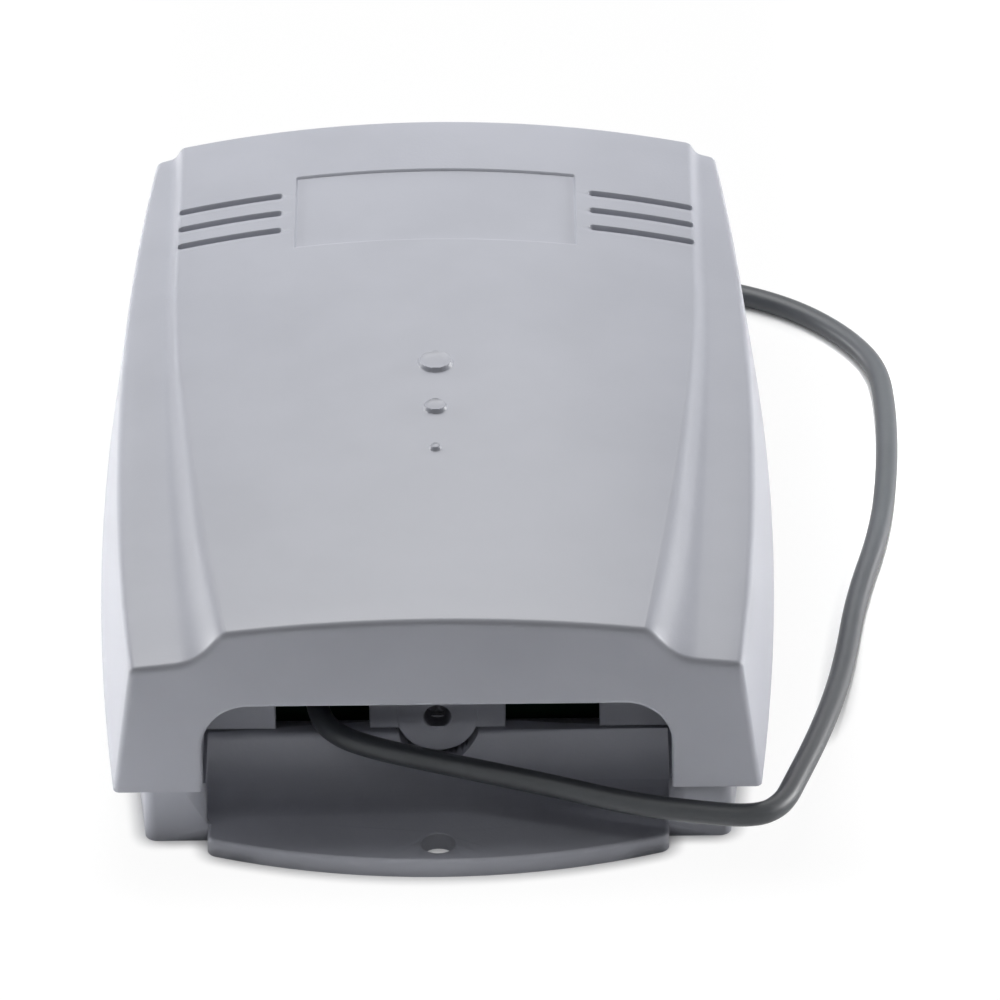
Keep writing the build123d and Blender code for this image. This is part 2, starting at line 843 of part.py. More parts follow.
def make_bridge():
    """The bridge rectifier that lets the supply be alternating or direct."""
    x, y = bridge_place[0], from_front(bridge_place[1])
    width, length, height = bridge_size
    lift = 0.6
    body = block(x - width / 2, x + width / 2, y - length / 2, y + length / 2,
                 board_top + lift, board_top + lift + height)
    body = chamfer(body.edges().group_by(Axis.Z)[-1], 0.4)
    for side in (-1, 1):
        for end in (-1, 1):
            body += bent_leg(x + side * width / 2, y + end * length * 0.3, side, lift, 1.2)
    return body


def bent_leg(x, y, side, rise, width):
    """A flat leg that leaves a body sideways and turns down to the board."""
    half, sheet = width / 2, lead_thickness
    reach = 0.9
    out = sorted((x - side * 0.2, x + side * reach))
    foot = sorted((x + side * (reach - sheet), x + side * reach))
    leg = block(out[0], out[1], y - half, y + half, board_top + rise + 0.5,
                board_top + rise + 0.5 + sheet)
    return leg + block(foot[0], foot[1], y - half, y + half, board_top, board_top + rise + 0.6)


def make_varistor():
    """The disc that guards the supply against surges, on edge on its two leads."""
    x, y = varistor_place[0], from_front(varistor_place[1])
    z = board_top + varistor_lift + varistor_radius
    disc = along_x(x - varistor_thickness / 2, y, z, varistor_radius, varistor_thickness)
    disc = chamfer(disc.edges().filter_by(GeomType.CIRCLE), 0.6)
    for side in (-1, 1):
        disc += upright(x, y + side * varistor_pitch / 2, board_top, bent_lead / 2,
                        varistor_lift + varistor_radius / 2)
    return disc


def make_regulator():
    """The voltage regulator lying on the board, its leads bent down into it."""
    x, y = regulator_place[0], from_front(regulator_place[1])
    width, length, height = regulator_body
    tab_width, tab_length, tab_height = regulator_tab
    low = y - regulator_lead_reach
    body = block(x - width / 2, x + width / 2, y, y + length, board_top, board_top + height)
    body = chamfer(body.edges().group_by(Axis.Z)[-1], 0.4)
    tab = block(x - tab_width / 2, x + tab_width / 2, y + length, y + length + tab_length,
                board_top, board_top + tab_height)
    tab -= upright(x, y + length + tab_length * 0.55, board_top - 1, regulator_hole, tab_height + 2)
    legs = Part()
    half, sheet = regulator_lead / 2, regulator_lead_sheet
    bend = board_top + regulator_lead_low
    for step in (-1, 0, 1):
        left, right = x + step * regulator_pitch - half, x + step * regulator_pitch + half
        legs += block(left, right, low, y, bend, bend + sheet)
        legs += block(left, right, low, low + sheet, board_top, bend + sheet / 2)
    return body, tab + legs


def make_chip(place, size, pins, pitch, low):
    """A moulded chip with a pin-one dimple, and its two rows of legs."""
    x, y = place[0], from_front(place[1])
    width, length, height = size
    body = block(x - width / 2, x + width / 2, y - length / 2, y + length / 2, low, low + height)
    body = chamfer(body.edges().group_by(Axis.Z)[-1], 0.25)
    body -= Pos(x - width / 2 + 1.2, y + length / 2 - 1.2, low + height) * Cylinder(0.5, 0.3)
    legs = Part()
    for side in (-1, 1):
        for index in range(pins):
            leg_y = y + (index - (pins - 1) / 2) * pitch
            face = x + side * width / 2
            foot = x + side * (width / 2 + 0.8)
            out = sorted((face, foot))
            legs += block(out[0], out[1], leg_y - 0.2, leg_y + 0.2, board_top, board_top + lead_thickness)
    return body, legs


def make_memory_socket():
    """The socket that the plug-in memory chip stands in."""
    x, y = memory_place[0], from_front(memory_place[1])
    width, length = socket_size
    body = block(x - width / 2, x + width / 2, y - length / 2, y + length / 2,
                 board_top, board_top + socket_height)
    inner = block(x - width / 2 + 2.2, x + width / 2 - 2.2, y - length / 2 + 1, y + length / 2 - 1,
                  board_top - 1, board_top + socket_height + 1)
    return body - inner


def make_crystal():
    """The clock crystal's can, lying on the board."""
    x, y = crystal_place[0], from_front(crystal_place[1])
    length, width, height = crystal_size
    can = block(x - width / 2, x + width / 2, y - length / 2, y + length / 2,
                board_top, board_top + height)
    return fillet(can.edges().filter_by(Axis.Z), width / 2 - 0.3)


def radio_face(side):
    """The X of the radio board's face on one side."""
    return radio_board_place[0] + side * radio_board_size[0] / 2


def make_radio_board():
    """The receiver's own small board, standing on edge."""
    x, y = radio_board_place[0], from_front(radio_board_place[1])
    thick, length = radio_board_size
    low = board_top + radio_board_lift
    return block(x - thick / 2, x + thick / 2, y - length / 2, y + length / 2,
                 low, low + radio_board_height)


def make_radio_can():
    """The screening can over the radio's input stage."""
    face = radio_face(1)
    y = from_front(radio_board_place[1]) + radio_can_offset
    thick, length, height = radio_can_size
    low = board_top + radio_board_lift + (radio_board_height - height) / 2
    can = block(face, face + thick, y - length / 2, y + length / 2, low, low + height)
    return fillet(can.edges().filter_by(Axis.X), 0.6)


def make_saw_filter():
    """The round filter can on the radio board."""
    y = from_front(radio_board_place[1]) + saw_offset
    z = board_top + radio_board_lift + radio_board_height * 0.55
    return along_x(radio_face(1), y, z, saw_radius, saw_thickness)


def make_radio_header():
    """The row of bent pins that carries the radio board."""
    x = radio_face(-1)
    y = from_front(radio_board_place[1])
    low = board_top + radio_board_lift
    header = Part()
    for index in range(header_pins):
        pin_y = y + (index - (header_pins - 1) / 2) * header_pitch
        header += block(x - 0.5, x, pin_y - 0.25, pin_y + 0.25, board_top, low + 1.6)
    strip = block(x - 2.0, x - 0.5, y - header_pins * header_pitch / 2,
                  y + header_pins * header_pitch / 2, board_top, board_top + 2.0)
    return header + strip


def make_led(x):
    """One status lamp: a flange, a barrel and a dome."""
    y = from_front(led_row)
    lamp = upright(x, y, board_top, led_radius + 0.3, 0.8)
    lamp += upright(x, y, board_top, led_radius, led_height - led_radius)
    return lamp + Pos(x, y, board_top + led_height - led_radius) * Sphere(led_radius)


def make_transistor(place):
    """A small relay driver: a round body with a flat face, on three leads."""
    x, y = place[0], from_front(place[1])
    low = board_top + transistor_lift
    body = upright(x, y, low, transistor_radius, transistor_height)
    wide = transistor_radius + 1
    body -= block(x - wide, x + wide, y + transistor_radius * 0.6, y + wide,
                  low - 1, low + transistor_height + 1)
    for step in (-1, 0, 1):
        body += block(x + step * 1.27 - 0.22, x + step * 1.27 + 0.22, y - 0.22, y + 0.22,
                      board_top, low + 0.2)
    return body


def axial_part(place, radius, length):
    """A part lying on the board with a square lead bent down at each end."""
    x, y = place[0], from_front(place[1])
    z = board_top + radius
    body = along_x(x - length / 2, y, z, radius, length)
    body = chamfer(body.edges().filter_by(GeomType.CIRCLE), radius * 0.25)
    reach = length / 2 + lead_reach
    half = bent_lead / 2
    body += block(x - reach - half, x + reach + half, y - half, y + half, z - half, z + half)
    for side in (-1, 1):
        leg_x = x + side * reach
        body += block(leg_x - half, leg_x + half, y - half, y + half, board_top, z)
    return body


def group(shapes):
    """Several separate solids as one node."""
    together = Part()
    for shape in shapes:
        together += shape
    return together


def route_radii(points):
    """A bend radius for each corner: as large as its two runs allow."""
    radii = []
    for before, corner, after in zip(points, points[1:], points[2:]):
        run_in, run_out = corner - before, after - corner
        turn = math.radians(run_in.get_angle(run_out))
        shorter = min(run_in.length, run_out.length)
        radii.append(0.45 * shorter / math.tan(turn / 2))
    return radii


def wire_tube(name, points):
    """A wire of constant section along straight runs joined by tangent arcs."""
    points = [Vector(*point) for point in points]
    radii = route_radii(points)
    path = FilletPolyline(*points, radius=radii)
    section = Plane(origin=path @ 0, z_dir=path % 0) * Circle(wire_diameter / 2)
    tube = sweep(section, path=path)
    expected = math.pi * wire_diameter**2 / 4 * path.length
    print(name, "length", round(path.length, 1), "volume", round(tube.volume, 2),
          "section x length", round(expected, 2))
    print(name, "bend radii", [round(radius, 1) for radius in radii])
    return tube


# The aerial wire's route, chosen by hand: X, distance behind the cover's front, Z.
# It leaves its terminal through the left cable slot, crosses the bay to the right, turns
# sharply round the near right corner, comes down to the wall's surface and passes
# behind the far end.
wire_route = [
    (-10.05, 14.1, 8.0),
    (-10.05, 10.7, 7.05),
    (-8.4, 7.75, 6.65),
    (-5.1, 6.15, 6.35),
    (-0.9, 4.85, 6.1),
    (4.2, 3.38, 5.75),
    (9.6, 1.85, 5.4),
    (15.2, 0.4, 4.95),
    (21.0, -0.4, 4.5),
    (26.6, -0.9, 4.2),
    (29.2, 1.9, 3.9),
    (30.2, 7.5, 3.2),
    (31.4, 13.3, 2.4),
    (32.9, 19.6, 1.5),
    (34.2, 26.6, 0.98),
    (35.6, 36.0, 0.98),
    (38.1, 46.3, 0.98),
    (39.2, 56.5, 0.98),
    (39.5, 66.0, 0.98),
    (39.1, 73.2, 0.98),
    (36.2, 78.8, 0.98),
    (31.6, 83.6, 0.98),
    (25.2, 86.9, 0.98),
    (17.4, 88.8, 0.98),
    (8.6, 89.7, 0.98),
    (0.6, 88.9, 0.98),
    (-4.1, 87.8, 0.98),
]


def placed(route):
    """A route's points in the part's own frame."""
    return [(x, from_front(y), z) for x, y, z in route]


def make_core():
    """The bared end of the conductor, inside the aerial's clamp."""
    x, y, z = placed(wire_route)[0]
    return along_y(x, y, z, core_diameter / 2, core_length)


NODES["cover"] = make_cover()
NODES["base_tray"] = make_base()
NODES["circuit_board"] = make_board()
NODES["board_screws"] = make_board_screws()
for name, left, width in terminal_blocks():
    NODES[name] = make_terminal(left, width)
NODES["terminal_clamps"] = make_clamps()
NODES["terminal_screws"] = make_terminal_screws()
for label, place in zip(("one", "two"), relay_places):
    NODES["relay_" + label] = make_relay(place)
NODES["relay_pins"] = make_relay_pins()
for label, place in zip(("one", "two"), switch_places):
    NODES["learn_switch_" + label] = make_switch(place)
    NODES["learn_button_" + label] = make_plunger(place)
NODES["jumper_header"] = make_jumper_header()
NODES["jumper_cap"] = make_jumper_cap()
NODES["bulk_capacitor"] = make_capacitor(capacitor_place, capacitor_radius, capacitor_height)
NODES["small_capacitor"] = make_capacitor(
    small_capacitor_place, small_capacitor_radius, small_capacitor_height)
NODES["bridge_rectifier"] = make_bridge()
NODES["surge_varistor"] = make_varistor()
NODES["voltage_regulator"], NODES["regulator_tab"] = make_regulator()
NODES["microcontroller"], NODES["microcontroller_legs"] = make_chip(
    microcontroller_place, microcontroller_size, microcontroller_pins, microcontroller_pitch,
    board_top + 0.1)
NODES["memory_socket"] = make_memory_socket()
NODES["memory_chip"], _ = make_chip(memory_place, memory_size, memory_pins, memory_pitch,
                                    board_top + socket_height)
NODES["clock_crystal"] = make_crystal()
NODES["radio_board"] = make_radio_board()
NODES["radio_can"] = make_radio_can()
NODES["radio_filter"] = make_saw_filter()
NODES["radio_header"] = make_radio_header()
NODES["status_lamps"] = group([make_led(x) for x in led_places])
NODES["relay_drivers"] = group([make_transistor(place) for place in transistor_places])
NODES["relay_diodes"] = group([
    axial_part(place, diode_radius, diode_length) for place in diode_places])
NODES["resistors"] = group([
    axial_part(place, resistor_radius, resistor_length) for place in resistor_places])
NODES["aerial_wire"] = wire_tube("aerial wire", placed(wire_route))
NODES["aerial_core"] = make_core() - NODES["aerial_wire"]

for name, shape in NODES.items():
    export_step(shape, f"parts/{name}.step")
    print(name, len(shape.solids()), round(shape.volume, 1))
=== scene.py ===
"""The looks of a small moulded radio receiver that lies on its back with its wire aerial.

Lengths in the classes are millimetres in the part's frame: X to the right, Y from the fixing
tongue to the far end, Z out of the wall. Meshes are written in metres.
"""

import json
import logging
import math
from dataclasses import dataclass
from enum import Enum

import bmesh
import bpy
import numpy as np
from mathutils import Matrix, Vector

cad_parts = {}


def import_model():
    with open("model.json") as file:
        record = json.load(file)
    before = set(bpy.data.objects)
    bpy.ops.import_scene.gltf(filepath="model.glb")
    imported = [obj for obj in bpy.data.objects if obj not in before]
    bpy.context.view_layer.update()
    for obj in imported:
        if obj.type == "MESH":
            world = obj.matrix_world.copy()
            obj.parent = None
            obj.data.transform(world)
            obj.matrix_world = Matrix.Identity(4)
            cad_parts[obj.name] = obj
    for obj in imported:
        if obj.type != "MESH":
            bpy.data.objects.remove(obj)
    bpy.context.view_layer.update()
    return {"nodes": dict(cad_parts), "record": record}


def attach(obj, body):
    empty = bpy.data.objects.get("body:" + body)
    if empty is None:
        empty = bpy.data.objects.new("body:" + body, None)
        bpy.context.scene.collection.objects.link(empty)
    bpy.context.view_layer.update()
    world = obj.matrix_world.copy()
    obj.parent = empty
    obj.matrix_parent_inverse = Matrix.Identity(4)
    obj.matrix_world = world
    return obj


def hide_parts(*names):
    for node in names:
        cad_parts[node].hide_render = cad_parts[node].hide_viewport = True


LOG = logging.getLogger("radio_receiver")
MM = 0.001
COVER_FRONT = -39.9
FAR_END = 43.0
# A finish's colour turns from dark to light between these values of its noise.
PATCH_RAMP = (0.35, 0.65)
# How far a finish's roughness swings to each side of its middle.
GLOSS_SWING = 0.05
# Points of a CAD mesh nearer than this, in metres, are one point.
MERGE_DISTANCE = 2e-6
# Degrees past which an edge stays sharp, on CAD copies and on plates.
COPY_SHARP = 24.0
PLATE_SHARP = 35.0
# How strongly a copy's large flat faces pull its shading normals.
FACE_WEIGHT = 90


class Body(Enum):
    """Bodies of the pieces made here. A CAD copy's comes from the part's record."""

    BASE = "base"
    COVER = "cover"


def linear(hex_colour: str) -> tuple[float, float, float, float]:
    """Turn an sRGB colour into the linear one that shaders use.

    Args:
        hex_colour: Six hex digits, with or without a leading hash.

    Returns:
        Red, green, blue and an alpha of 1.
    """
    digits = hex_colour.lstrip("#")
    parts = [int(digits[i : i + 2], 16) / 255 for i in (0, 2, 4)]
    lin = [c / 12.92 if c <= 0.04045 else ((c + 0.055) / 1.055) ** 2.4 for c in parts]
    return lin[0], lin[1], lin[2], 1.0


def add_node(
    tree: bpy.types.NodeTree,
    kind: str,
    settings: dict[str, object] | None = None,
    links: dict[str, bpy.types.NodeSocket] | None = None,
) -> bpy.types.Node:
    """Add a node with its settings and its incoming links.

    Args:
        tree: The node tree that gets the node.
        kind: The node's type name.
        settings: Values by socket name, or by property name where no socket has it.
        links: Output sockets by the name of the input that each one feeds.

    Returns:
        The new node.
    """
    node = tree.nodes.new(kind)
    for name, value in (settings or {}).items():
        if name in node.inputs:
            node.inputs[name].default_value = value
        else:
            setattr(node, name, value)
    for name, source in (links or {}).items():
        tree.links.new(source, node.inputs[name])
    return node


def add_math(
    tree: bpy.types.NodeTree,
    operation: str,
    first: bpy.types.NodeSocket,
    second: bpy.types.NodeSocket | float,
) -> bpy.types.NodeSocket:
    """Add a math node on two values.

    Args:
        tree: The node tree that gets the node.
        operation: The operation's name.
        first: Socket of the first value.
        second: Socket of the second value, or the value itself.

    Returns:
        The socket of the result.
    """
    node = add_node(tree, "ShaderNodeMath", {"operation": operation})
    tree.links.new(first, node.inputs[0])
    if isinstance(second, float):
        node.inputs[1].default_value = second
    else:
        tree.links.new(second, node.inputs[1])
    return node.outputs["Value"]


def seen_or_mirrored(tree: bpy.types.NodeTree) -> bpy.types.NodeSocket:
    """A value that is 1 for the camera's rays and for reflections, and 0 for other rays."""
    path = add_node(tree, "ShaderNodeLightPath").outputs
    return add_math(tree, "MAXIMUM", path["Is Camera Ray"], path["Is Glossy Ray"])


@dataclass(frozen=True)
class Finish:
    """A surface with a mottled colour, uneven gloss and a fine grain.

    Attributes:
        name: The material's common name and how its surface was made.
        light: Colour of its lighter patches.
        dark: Colour of its darker patches.
        roughness: Middle of its roughness.
        grain: Spacing of the grain.
        relief: Height of the grain.
        patch: Size of the patches of colour.
        metallic: 1 for a bare metal.
        ior: Index of refraction.
        coat: Weight of a clear coat.
        stretch: How much longer the grain is along each axis.
    """

    name: str
    light: str
    dark: str
    roughness: float
    grain: float
    relief: float
    patch: float = 9.0
    metallic: float = 0.0
    ior: float = 1.5
    coat: float = 0.0
    stretch: tuple[float, float, float] = (1.0, 1.0, 1.0)

    def build(self) -> bpy.types.Material:
        """Make the node material.

        Returns:
            The material, named for the finish.
        """
        material = bpy.data.materials.new(self.name)
        material.use_nodes = True
        tree = material.node_tree
        shader = tree.nodes["Principled BSDF"]
        shader.inputs["Metallic"].default_value = self.metallic
        shader.inputs["IOR"].default_value = self.ior
        shader.inputs["Coat Weight"].default_value = self.coat
        place = add_node(tree, "ShaderNodeTexCoord").outputs["Object"]
        stretched = add_node(
            tree,
            "ShaderNodeMapping",
            {"Scale": tuple(1 / s for s in self.stretch)},
            {"Vector": place},
        ).outputs["Vector"]
        patches = add_node(
            tree,
            "ShaderNodeTexNoise",
            {"Scale": 1 / (self.patch * MM), "Detail": 3.0},
            {"Vector": place},
        ).outputs["Fac"]
        ramp = add_node(tree, "ShaderNodeValToRGB", links={"Fac": patches})
        stops = ramp.color_ramp.elements
        stops[0].position, stops[1].position = PATCH_RAMP
        stops[0].color = linear(self.dark)
        stops[1].color = linear(self.light)
        tree.links.new(ramp.outputs["Color"], shader.inputs["Base Color"])
        grains = add_node(
            tree,
            "ShaderNodeTexNoise",
            {"Scale": 1 / (self.grain * MM), "Detail": 2.0, "Roughness": 0.6},
            {"Vector": stretched},
        ).outputs["Fac"]
        gloss = add_node(
            tree,
            "ShaderNodeMapRange",
            {"To Min": self.roughness - GLOSS_SWING, "To Max": self.roughness + GLOSS_SWING},
            {"Value": patches},
        ).outputs["Result"]
        tree.links.new(gloss, shader.inputs["Roughness"])
        bump = add_node(
            tree, "ShaderNodeBump", {"Strength": 1.0, "Distance": self.relief * MM}, {"Height": grains}
        ).outputs["Normal"]
        tree.links.new(bump, shader.inputs["Normal"])
        return material


# Moulded ABS from a spark-eroded tool: a fine matt grain that breaks up the highlights.
# The real grain is about 0.05 mm; it is drawn coarser, so that it shows.
COVER_ABS = Finish("cover_abs_spark_grain", "#a3a5ae", "#9fa1aa", 0.39, 0.26, 0.011, ior=1.53)
BASE_ABS = Finish("base_abs_spark_grain", "#a5a7b0", "#a1a3ac", 0.42, 0.26, 0.011, ior=1.53)
# Extruded PVC insulation: satin, with a faint draw along the wire.
WIRE_PVC = Finish("wire_pvc_extruded", "#3e4145", "#383b3f", 0.42, 0.25, 0.004, patch=4.0)
# Drawn copper strands, slightly tarnished.
CORE_COPPER = Finish("core_copper_strands", "#c98a5c", "#b87a4e", 0.35, 0.2, 0.01, metallic=1.0)
# Glass-fibre laminate under green lacquer.
BOARD_FR4 = Finish("board_laminate_lacquer", "#12301f", "#0f291a", 0.35, 0.6, 0.004, coat=0.3)
# Tinned or zinc-plated steel, rolled.
PLATED_STEEL = Finish(
    "steel_tin_plated", "#c9c8c3", "#b8b7b2", 0.32, 0.15, 0.003, metallic=1.0, stretch=(1.0, 6.0, 1.0)
)
CAN_STEEL = Finish("can_tinned_sheet", "#cdccc8", "#bdbcb8", 0.28, 0.3, 0.003, metallic=1.0)
# Moulded polyamide and polyester housings.
TERMINAL_PA = Finish("terminal_polyamide", "#3c3d3f", "#363739", 0.42, 0.25, 0.004)
RELAY_PBT = Finish("relay_polyester_satin", "#24344f", "#1f2e47", 0.34, 0.4, 0.003)
BLACK_PA = Finish("black_polyamide", "#242526", "#1f2021", 0.45, 0.25, 0.004)
BUTTON_POM = Finish("button_acetal", "#2b2c2e", "#252628", 0.38, 0.25, 0.003)
CAP_GLOSS = Finish("jumper_cap_gloss", "#1d1e20", "#18191b", 0.25, 0.4, 0.002, coat=0.4)
SLEEVE_PVC = Finish("capacitor_shrink_sleeve", "#202a45", "#1b253d", 0.24, 0.5, 0.003, coat=0.5)
CHIP_EPOXY = Finish("chip_moulded_epoxy", "#2a2a2b", "#232324", 0.55, 0.12, 0.004)
VARISTOR_DIP = Finish("varistor_dipped_epoxy", "#2f57a6", "#294e97", 0.28, 0.9, 0.01, coat=0.4)
LAMP_LENS = Finish("lamp_tinted_lens", "#b8321f", "#a82a1a", 0.12, 1.0, 0.001, coat=1.0)
RESISTOR_COAT = Finish("resistor_lacquer", "#cdb48a", "#bfa67d", 0.4, 0.5, 0.004)

NODE_FINISHES: dict[str, Finish] = {
    "base_tray": BASE_ABS,
    "circuit_board": BOARD_FR4,
    "board_screws": PLATED_STEEL,
    "supply_terminal": TERMINAL_PA,
    "aerial_terminal": TERMINAL_PA,
    "output_one_terminal": TERMINAL_PA,
    "output_two_terminal": TERMINAL_PA,
    "terminal_clamps": PLATED_STEEL,
    "terminal_screws": PLATED_STEEL,
    "relay_one": RELAY_PBT,
    "relay_two": RELAY_PBT,
    "relay_pins": PLATED_STEEL,
    "learn_switch_one": BLACK_PA,
    "learn_switch_two": BLACK_PA,
    "learn_button_one": BUTTON_POM,
    "learn_button_two": BUTTON_POM,
    "jumper_header": BLACK_PA,
    "jumper_cap": CAP_GLOSS,
    "bulk_capacitor": SLEEVE_PVC,
    "small_capacitor": SLEEVE_PVC,
    "bridge_rectifier": CHIP_EPOXY,
    "surge_varistor": VARISTOR_DIP,
    "voltage_regulator": CHIP_EPOXY,
    "regulator_tab": PLATED_STEEL,
    "microcontroller": CHIP_EPOXY,
    "microcontroller_legs": PLATED_STEEL,
    "memory_socket": BLACK_PA,
    "memory_chip": CHIP_EPOXY,
    "clock_crystal": CAN_STEEL,
    "radio_board": BOARD_FR4,
    "radio_can": CAN_STEEL,
    "radio_filter": CAN_STEEL,
    "radio_header": PLATED_STEEL,
    "status_lamps": LAMP_LENS,
    "relay_drivers": CHIP_EPOXY,
    "relay_diodes": CHIP_EPOXY,
    "resistors": RESISTOR_COAT,
    "aerial_core": CORE_COPPER,
}


def quads_of(rows: int, columns: int, first: int, flip: bool = False) -> np.ndarray:
    """Number the four-sided faces of a grid of points.

    Args:
        rows: Number of rows of points.
        columns: Number of points in a row.
        first: Index of the grid's first point.
        flip: Whether the faces turn the other way.

    Returns:
        An array with four point indices for each face: row r and column c joins its right,
        diagonal and upper neighbours.
    """
    r, c = np.meshgrid(np.arange(rows - 1), np.arange(columns - 1), indexing="ij")
    low = first + (r * columns + c).ravel()
    quads = np.stack([low, low + 1, low + columns + 1, low + columns], axis=1)
    return quads[:, ::-1] if flip else quads


def new_piece(
    name: str, points: np.ndarray, faces: np.ndarray, finish: bpy.types.Material, sharp: float = 32.0
) -> bpy.types.Object:
    """Put points and faces into a new object at the origin.

    Args:
        name: The piece's name.
        points: Points in millimetres, one row each.
        faces: Point indices, one row for each face.
        finish: Its material.
        sharp: Degrees past which an edge stays sharp.

    Returns:
        The object, linked to the scene.
    """
    mesh = bpy.data.meshes.new(name)
    mesh.from_pydata((points * MM).tolist(), [], faces.tolist())
    mesh.validate()
    mesh.materials.append(finish)
    mesh.shade_smooth()
    mesh.set_sharp_from_angle(angle=math.radians(sharp))
    piece = bpy.data.objects.new(name, mesh)
    bpy.context.scene.collection.objects.link(piece)
    return piece


@dataclass(frozen=True)
class Section:
    """The cover's cross-section: crown, S-shaped step, shoulder, crease and side wall.

    Attributes:
        half_width: Half the width at the rim where the side bows out most.
        bow: How much narrower the rim is at both ends.
        taper: How much narrower the crease is than the rim.
        top: Height of the crown's middle.
        shoulder: Height of the shoulder where the step ends.
        crease: Height of the corner between shoulder and side.
        rim: Height of the cover's lower edge.
        crease_round: Radius of the crease.
        panel_margin: Half width minus the panel's half width at the far end.
        panel_narrowing: How much less the panel's half width is at the near end.
        narrowing_start: Share of the length, from the near end, where the narrowing begins.
        narrowing_power: Power of the way by which the narrowing grows.
        step_far: Width of the step at the far end.
        step_near: Width of the step at the near end.
        crown_far: The crown's radius at the far end.
        crown_near: The crown's radius at the near end.
        edge_near: How far the crown's slope carries into the step at the front, in widths.
        edge_more: How much further it carries away from the front.
        edge_fade: Share of the length over which that grows.
        foot_pull: How far the shoulder's level carries into the step, in widths.
        inset_share: Share of an inset by which panel and step grow narrower.
        side_points: Points along the side.
        crease_points: Points along the crease.
        shoulder_points: Points along the shoulder.
        step_points: Points along the step.
    """

    half_width: float = 28.5
    bow: float = 2.2
    taper: float = 1.7
    top: float = 22.0
    shoulder: float = 18.2
    crease: float = 17.8
    rim: float = 6.5
    crease_round: float = 0.7
    panel_margin: float = 6.3
    panel_narrowing: float = 5.6
    narrowing_start: float = 0.68
    narrowing_power: float = 1.4
    step_far: float = 1.3
    step_near: float = 4.4
    crown_far: float = 100.0
    crown_near: float = 150.0
    edge_near: float = 0.22
    edge_more: float = 0.26
    edge_fade: float = 0.2
    foot_pull: float = 0.6
    inset_share: float = 0.4
    side_points: int = 6
    crease_points: int = 7
    shoulder_points: int = 4
    step_points: int = 14

    @property
    def flank_points(self) -> int:
        """Number of points from the rim up to the crown's edge."""
        return self.side_points + self.crease_points + self.shoulder_points + self.step_points

    def narrow(self, share: np.ndarray) -> np.ndarray:
        """How much of the panel's narrowing is reached: a power of the way to the near end."""
        way = np.clip((self.narrowing_start - share) / self.narrowing_start, 0, None)
        return way**self.narrowing_power

    def half(self, share: np.ndarray, inset: np.ndarray, crown: np.ndarray) -> tuple[np.ndarray, ...]:
        """Work out the right half of the section, from the rim up to the crown's middle.

        The side is a line, the crease an arc, the step a cubic curve that leaves the crown
        along its slope and meets the shoulder level, and the crown an arc of a large radius.

        Args:
            share: Share of the cover's length, one value for each point of the grid.
            inset: How far the section is drawn inwards, the same shape.
            crown: Fractions of the panel's half width for the crown's points, from 1 to 0.

        Returns:
            X and Z of the points, each with the shape of share.
        """
        n = self.narrow(share)
        rim_half = self.half_width - self.bow * (2 * share - 1) ** 2 - inset
        crease = np.stack([rim_half - self.taper, self.crease - inset], -1)
        bottom = np.stack([rim_half, np.full_like(n, self.rim)], -1)
        draw = self.inset_share * inset
        panel = self.half_width - self.panel_margin - self.panel_narrowing * n - draw
        width = self.step_far + (self.step_near - self.step_far) * n - draw
        radius = self.crown_far + (self.crown_near - self.crown_far) * n - inset
        centre = self.top - inset - radius
        drop = np.sqrt(radius**2 - panel**2)
        edge = np.stack([panel, centre + drop], -1)
        foot = np.stack([panel + width, self.shoulder - inset], -1)
        fall = np.stack([drop, -panel], -1) / radius[..., None]
        level = crease - foot
        level /= np.linalg.norm(level, axis=-1, keepdims=True)
        down = bottom - crease
        down /= np.linalg.norm(down, axis=-1, keepdims=True)
        opening = np.arccos(np.clip(np.sum(-level * down, -1), -1, 1)) / 2
        reach = (self.crease_round / np.tan(opening))[..., None]
        low_start, high_end = crease + down * reach, crease - level * reach
        middle = down - level
        middle /= np.linalg.norm(middle, axis=-1, keepdims=True)
        hub = crease + middle * (self.crease_round / np.sin(opening))[..., None]
        first = np.arctan2((low_start - hub)[..., 1], (low_start - hub)[..., 0])
        last = np.arctan2((high_end - hub)[..., 1], (high_end - hub)[..., 0])
        out = np.empty(share.shape + (2,))
        a = self.side_points
        b = a + self.crease_points
        c = b + self.shoulder_points
        d = c + self.step_points
        p = np.linspace(0, 1, a, endpoint=False)[:, None]
        out[:, :a] = bottom[:, :a] * (1 - p) + low_start[:, :a] * p
        p = np.linspace(0, 1, b - a)
        turn = first[:, a:b] + (last - first)[:, a:b] * p
        out[:, a:b] = hub[:, a:b] + self.crease_round * np.stack([np.cos(turn), np.sin(turn)], -1)
        p = np.linspace(0, 1, c - b + 1)[1:, None]
        out[:, b:c] = high_end[:, b:c] * (1 - p) + foot[:, b:c] * p
        p = np.linspace(0, 1, d - c + 1)[1:, None]
        w = width[:, c:d, None]
        one = foot[:, c:d] - level[:, c:d] * self.foot_pull * w
        far_way = np.clip(share[:, c:d, None] / self.edge_fade, 0, 1)
        soft = self.edge_near + self.edge_more * far_way
        two = edge[:, c:d] + fall[:, c:d] * soft * w
        low_half = foot[:, c:d] * (1 - p) ** 3 + one * 3 * p * (1 - p) ** 2
        out[:, c:d] = low_half + two * 3 * p**2 * (1 - p) + edge[:, c:d] * p**3
        x = panel[:, d:] * crown
        out[:, d:, 0] = x
        out[:, d:, 1] = centre[:, d:] + np.sqrt(radius[:, d:] ** 2 - x**2)
        return out[..., 0], out[..., 1]


def smooth_edge(distance: np.ndarray, width: float) -> np.ndarray:
    """A soft step from 1 inside to 0 outside, a cosine across the width, by signed distance."""
    share = np.clip(distance / width + 0.5, 0, 1)
    return 0.5 + 0.5 * np.cos(np.pi * share)


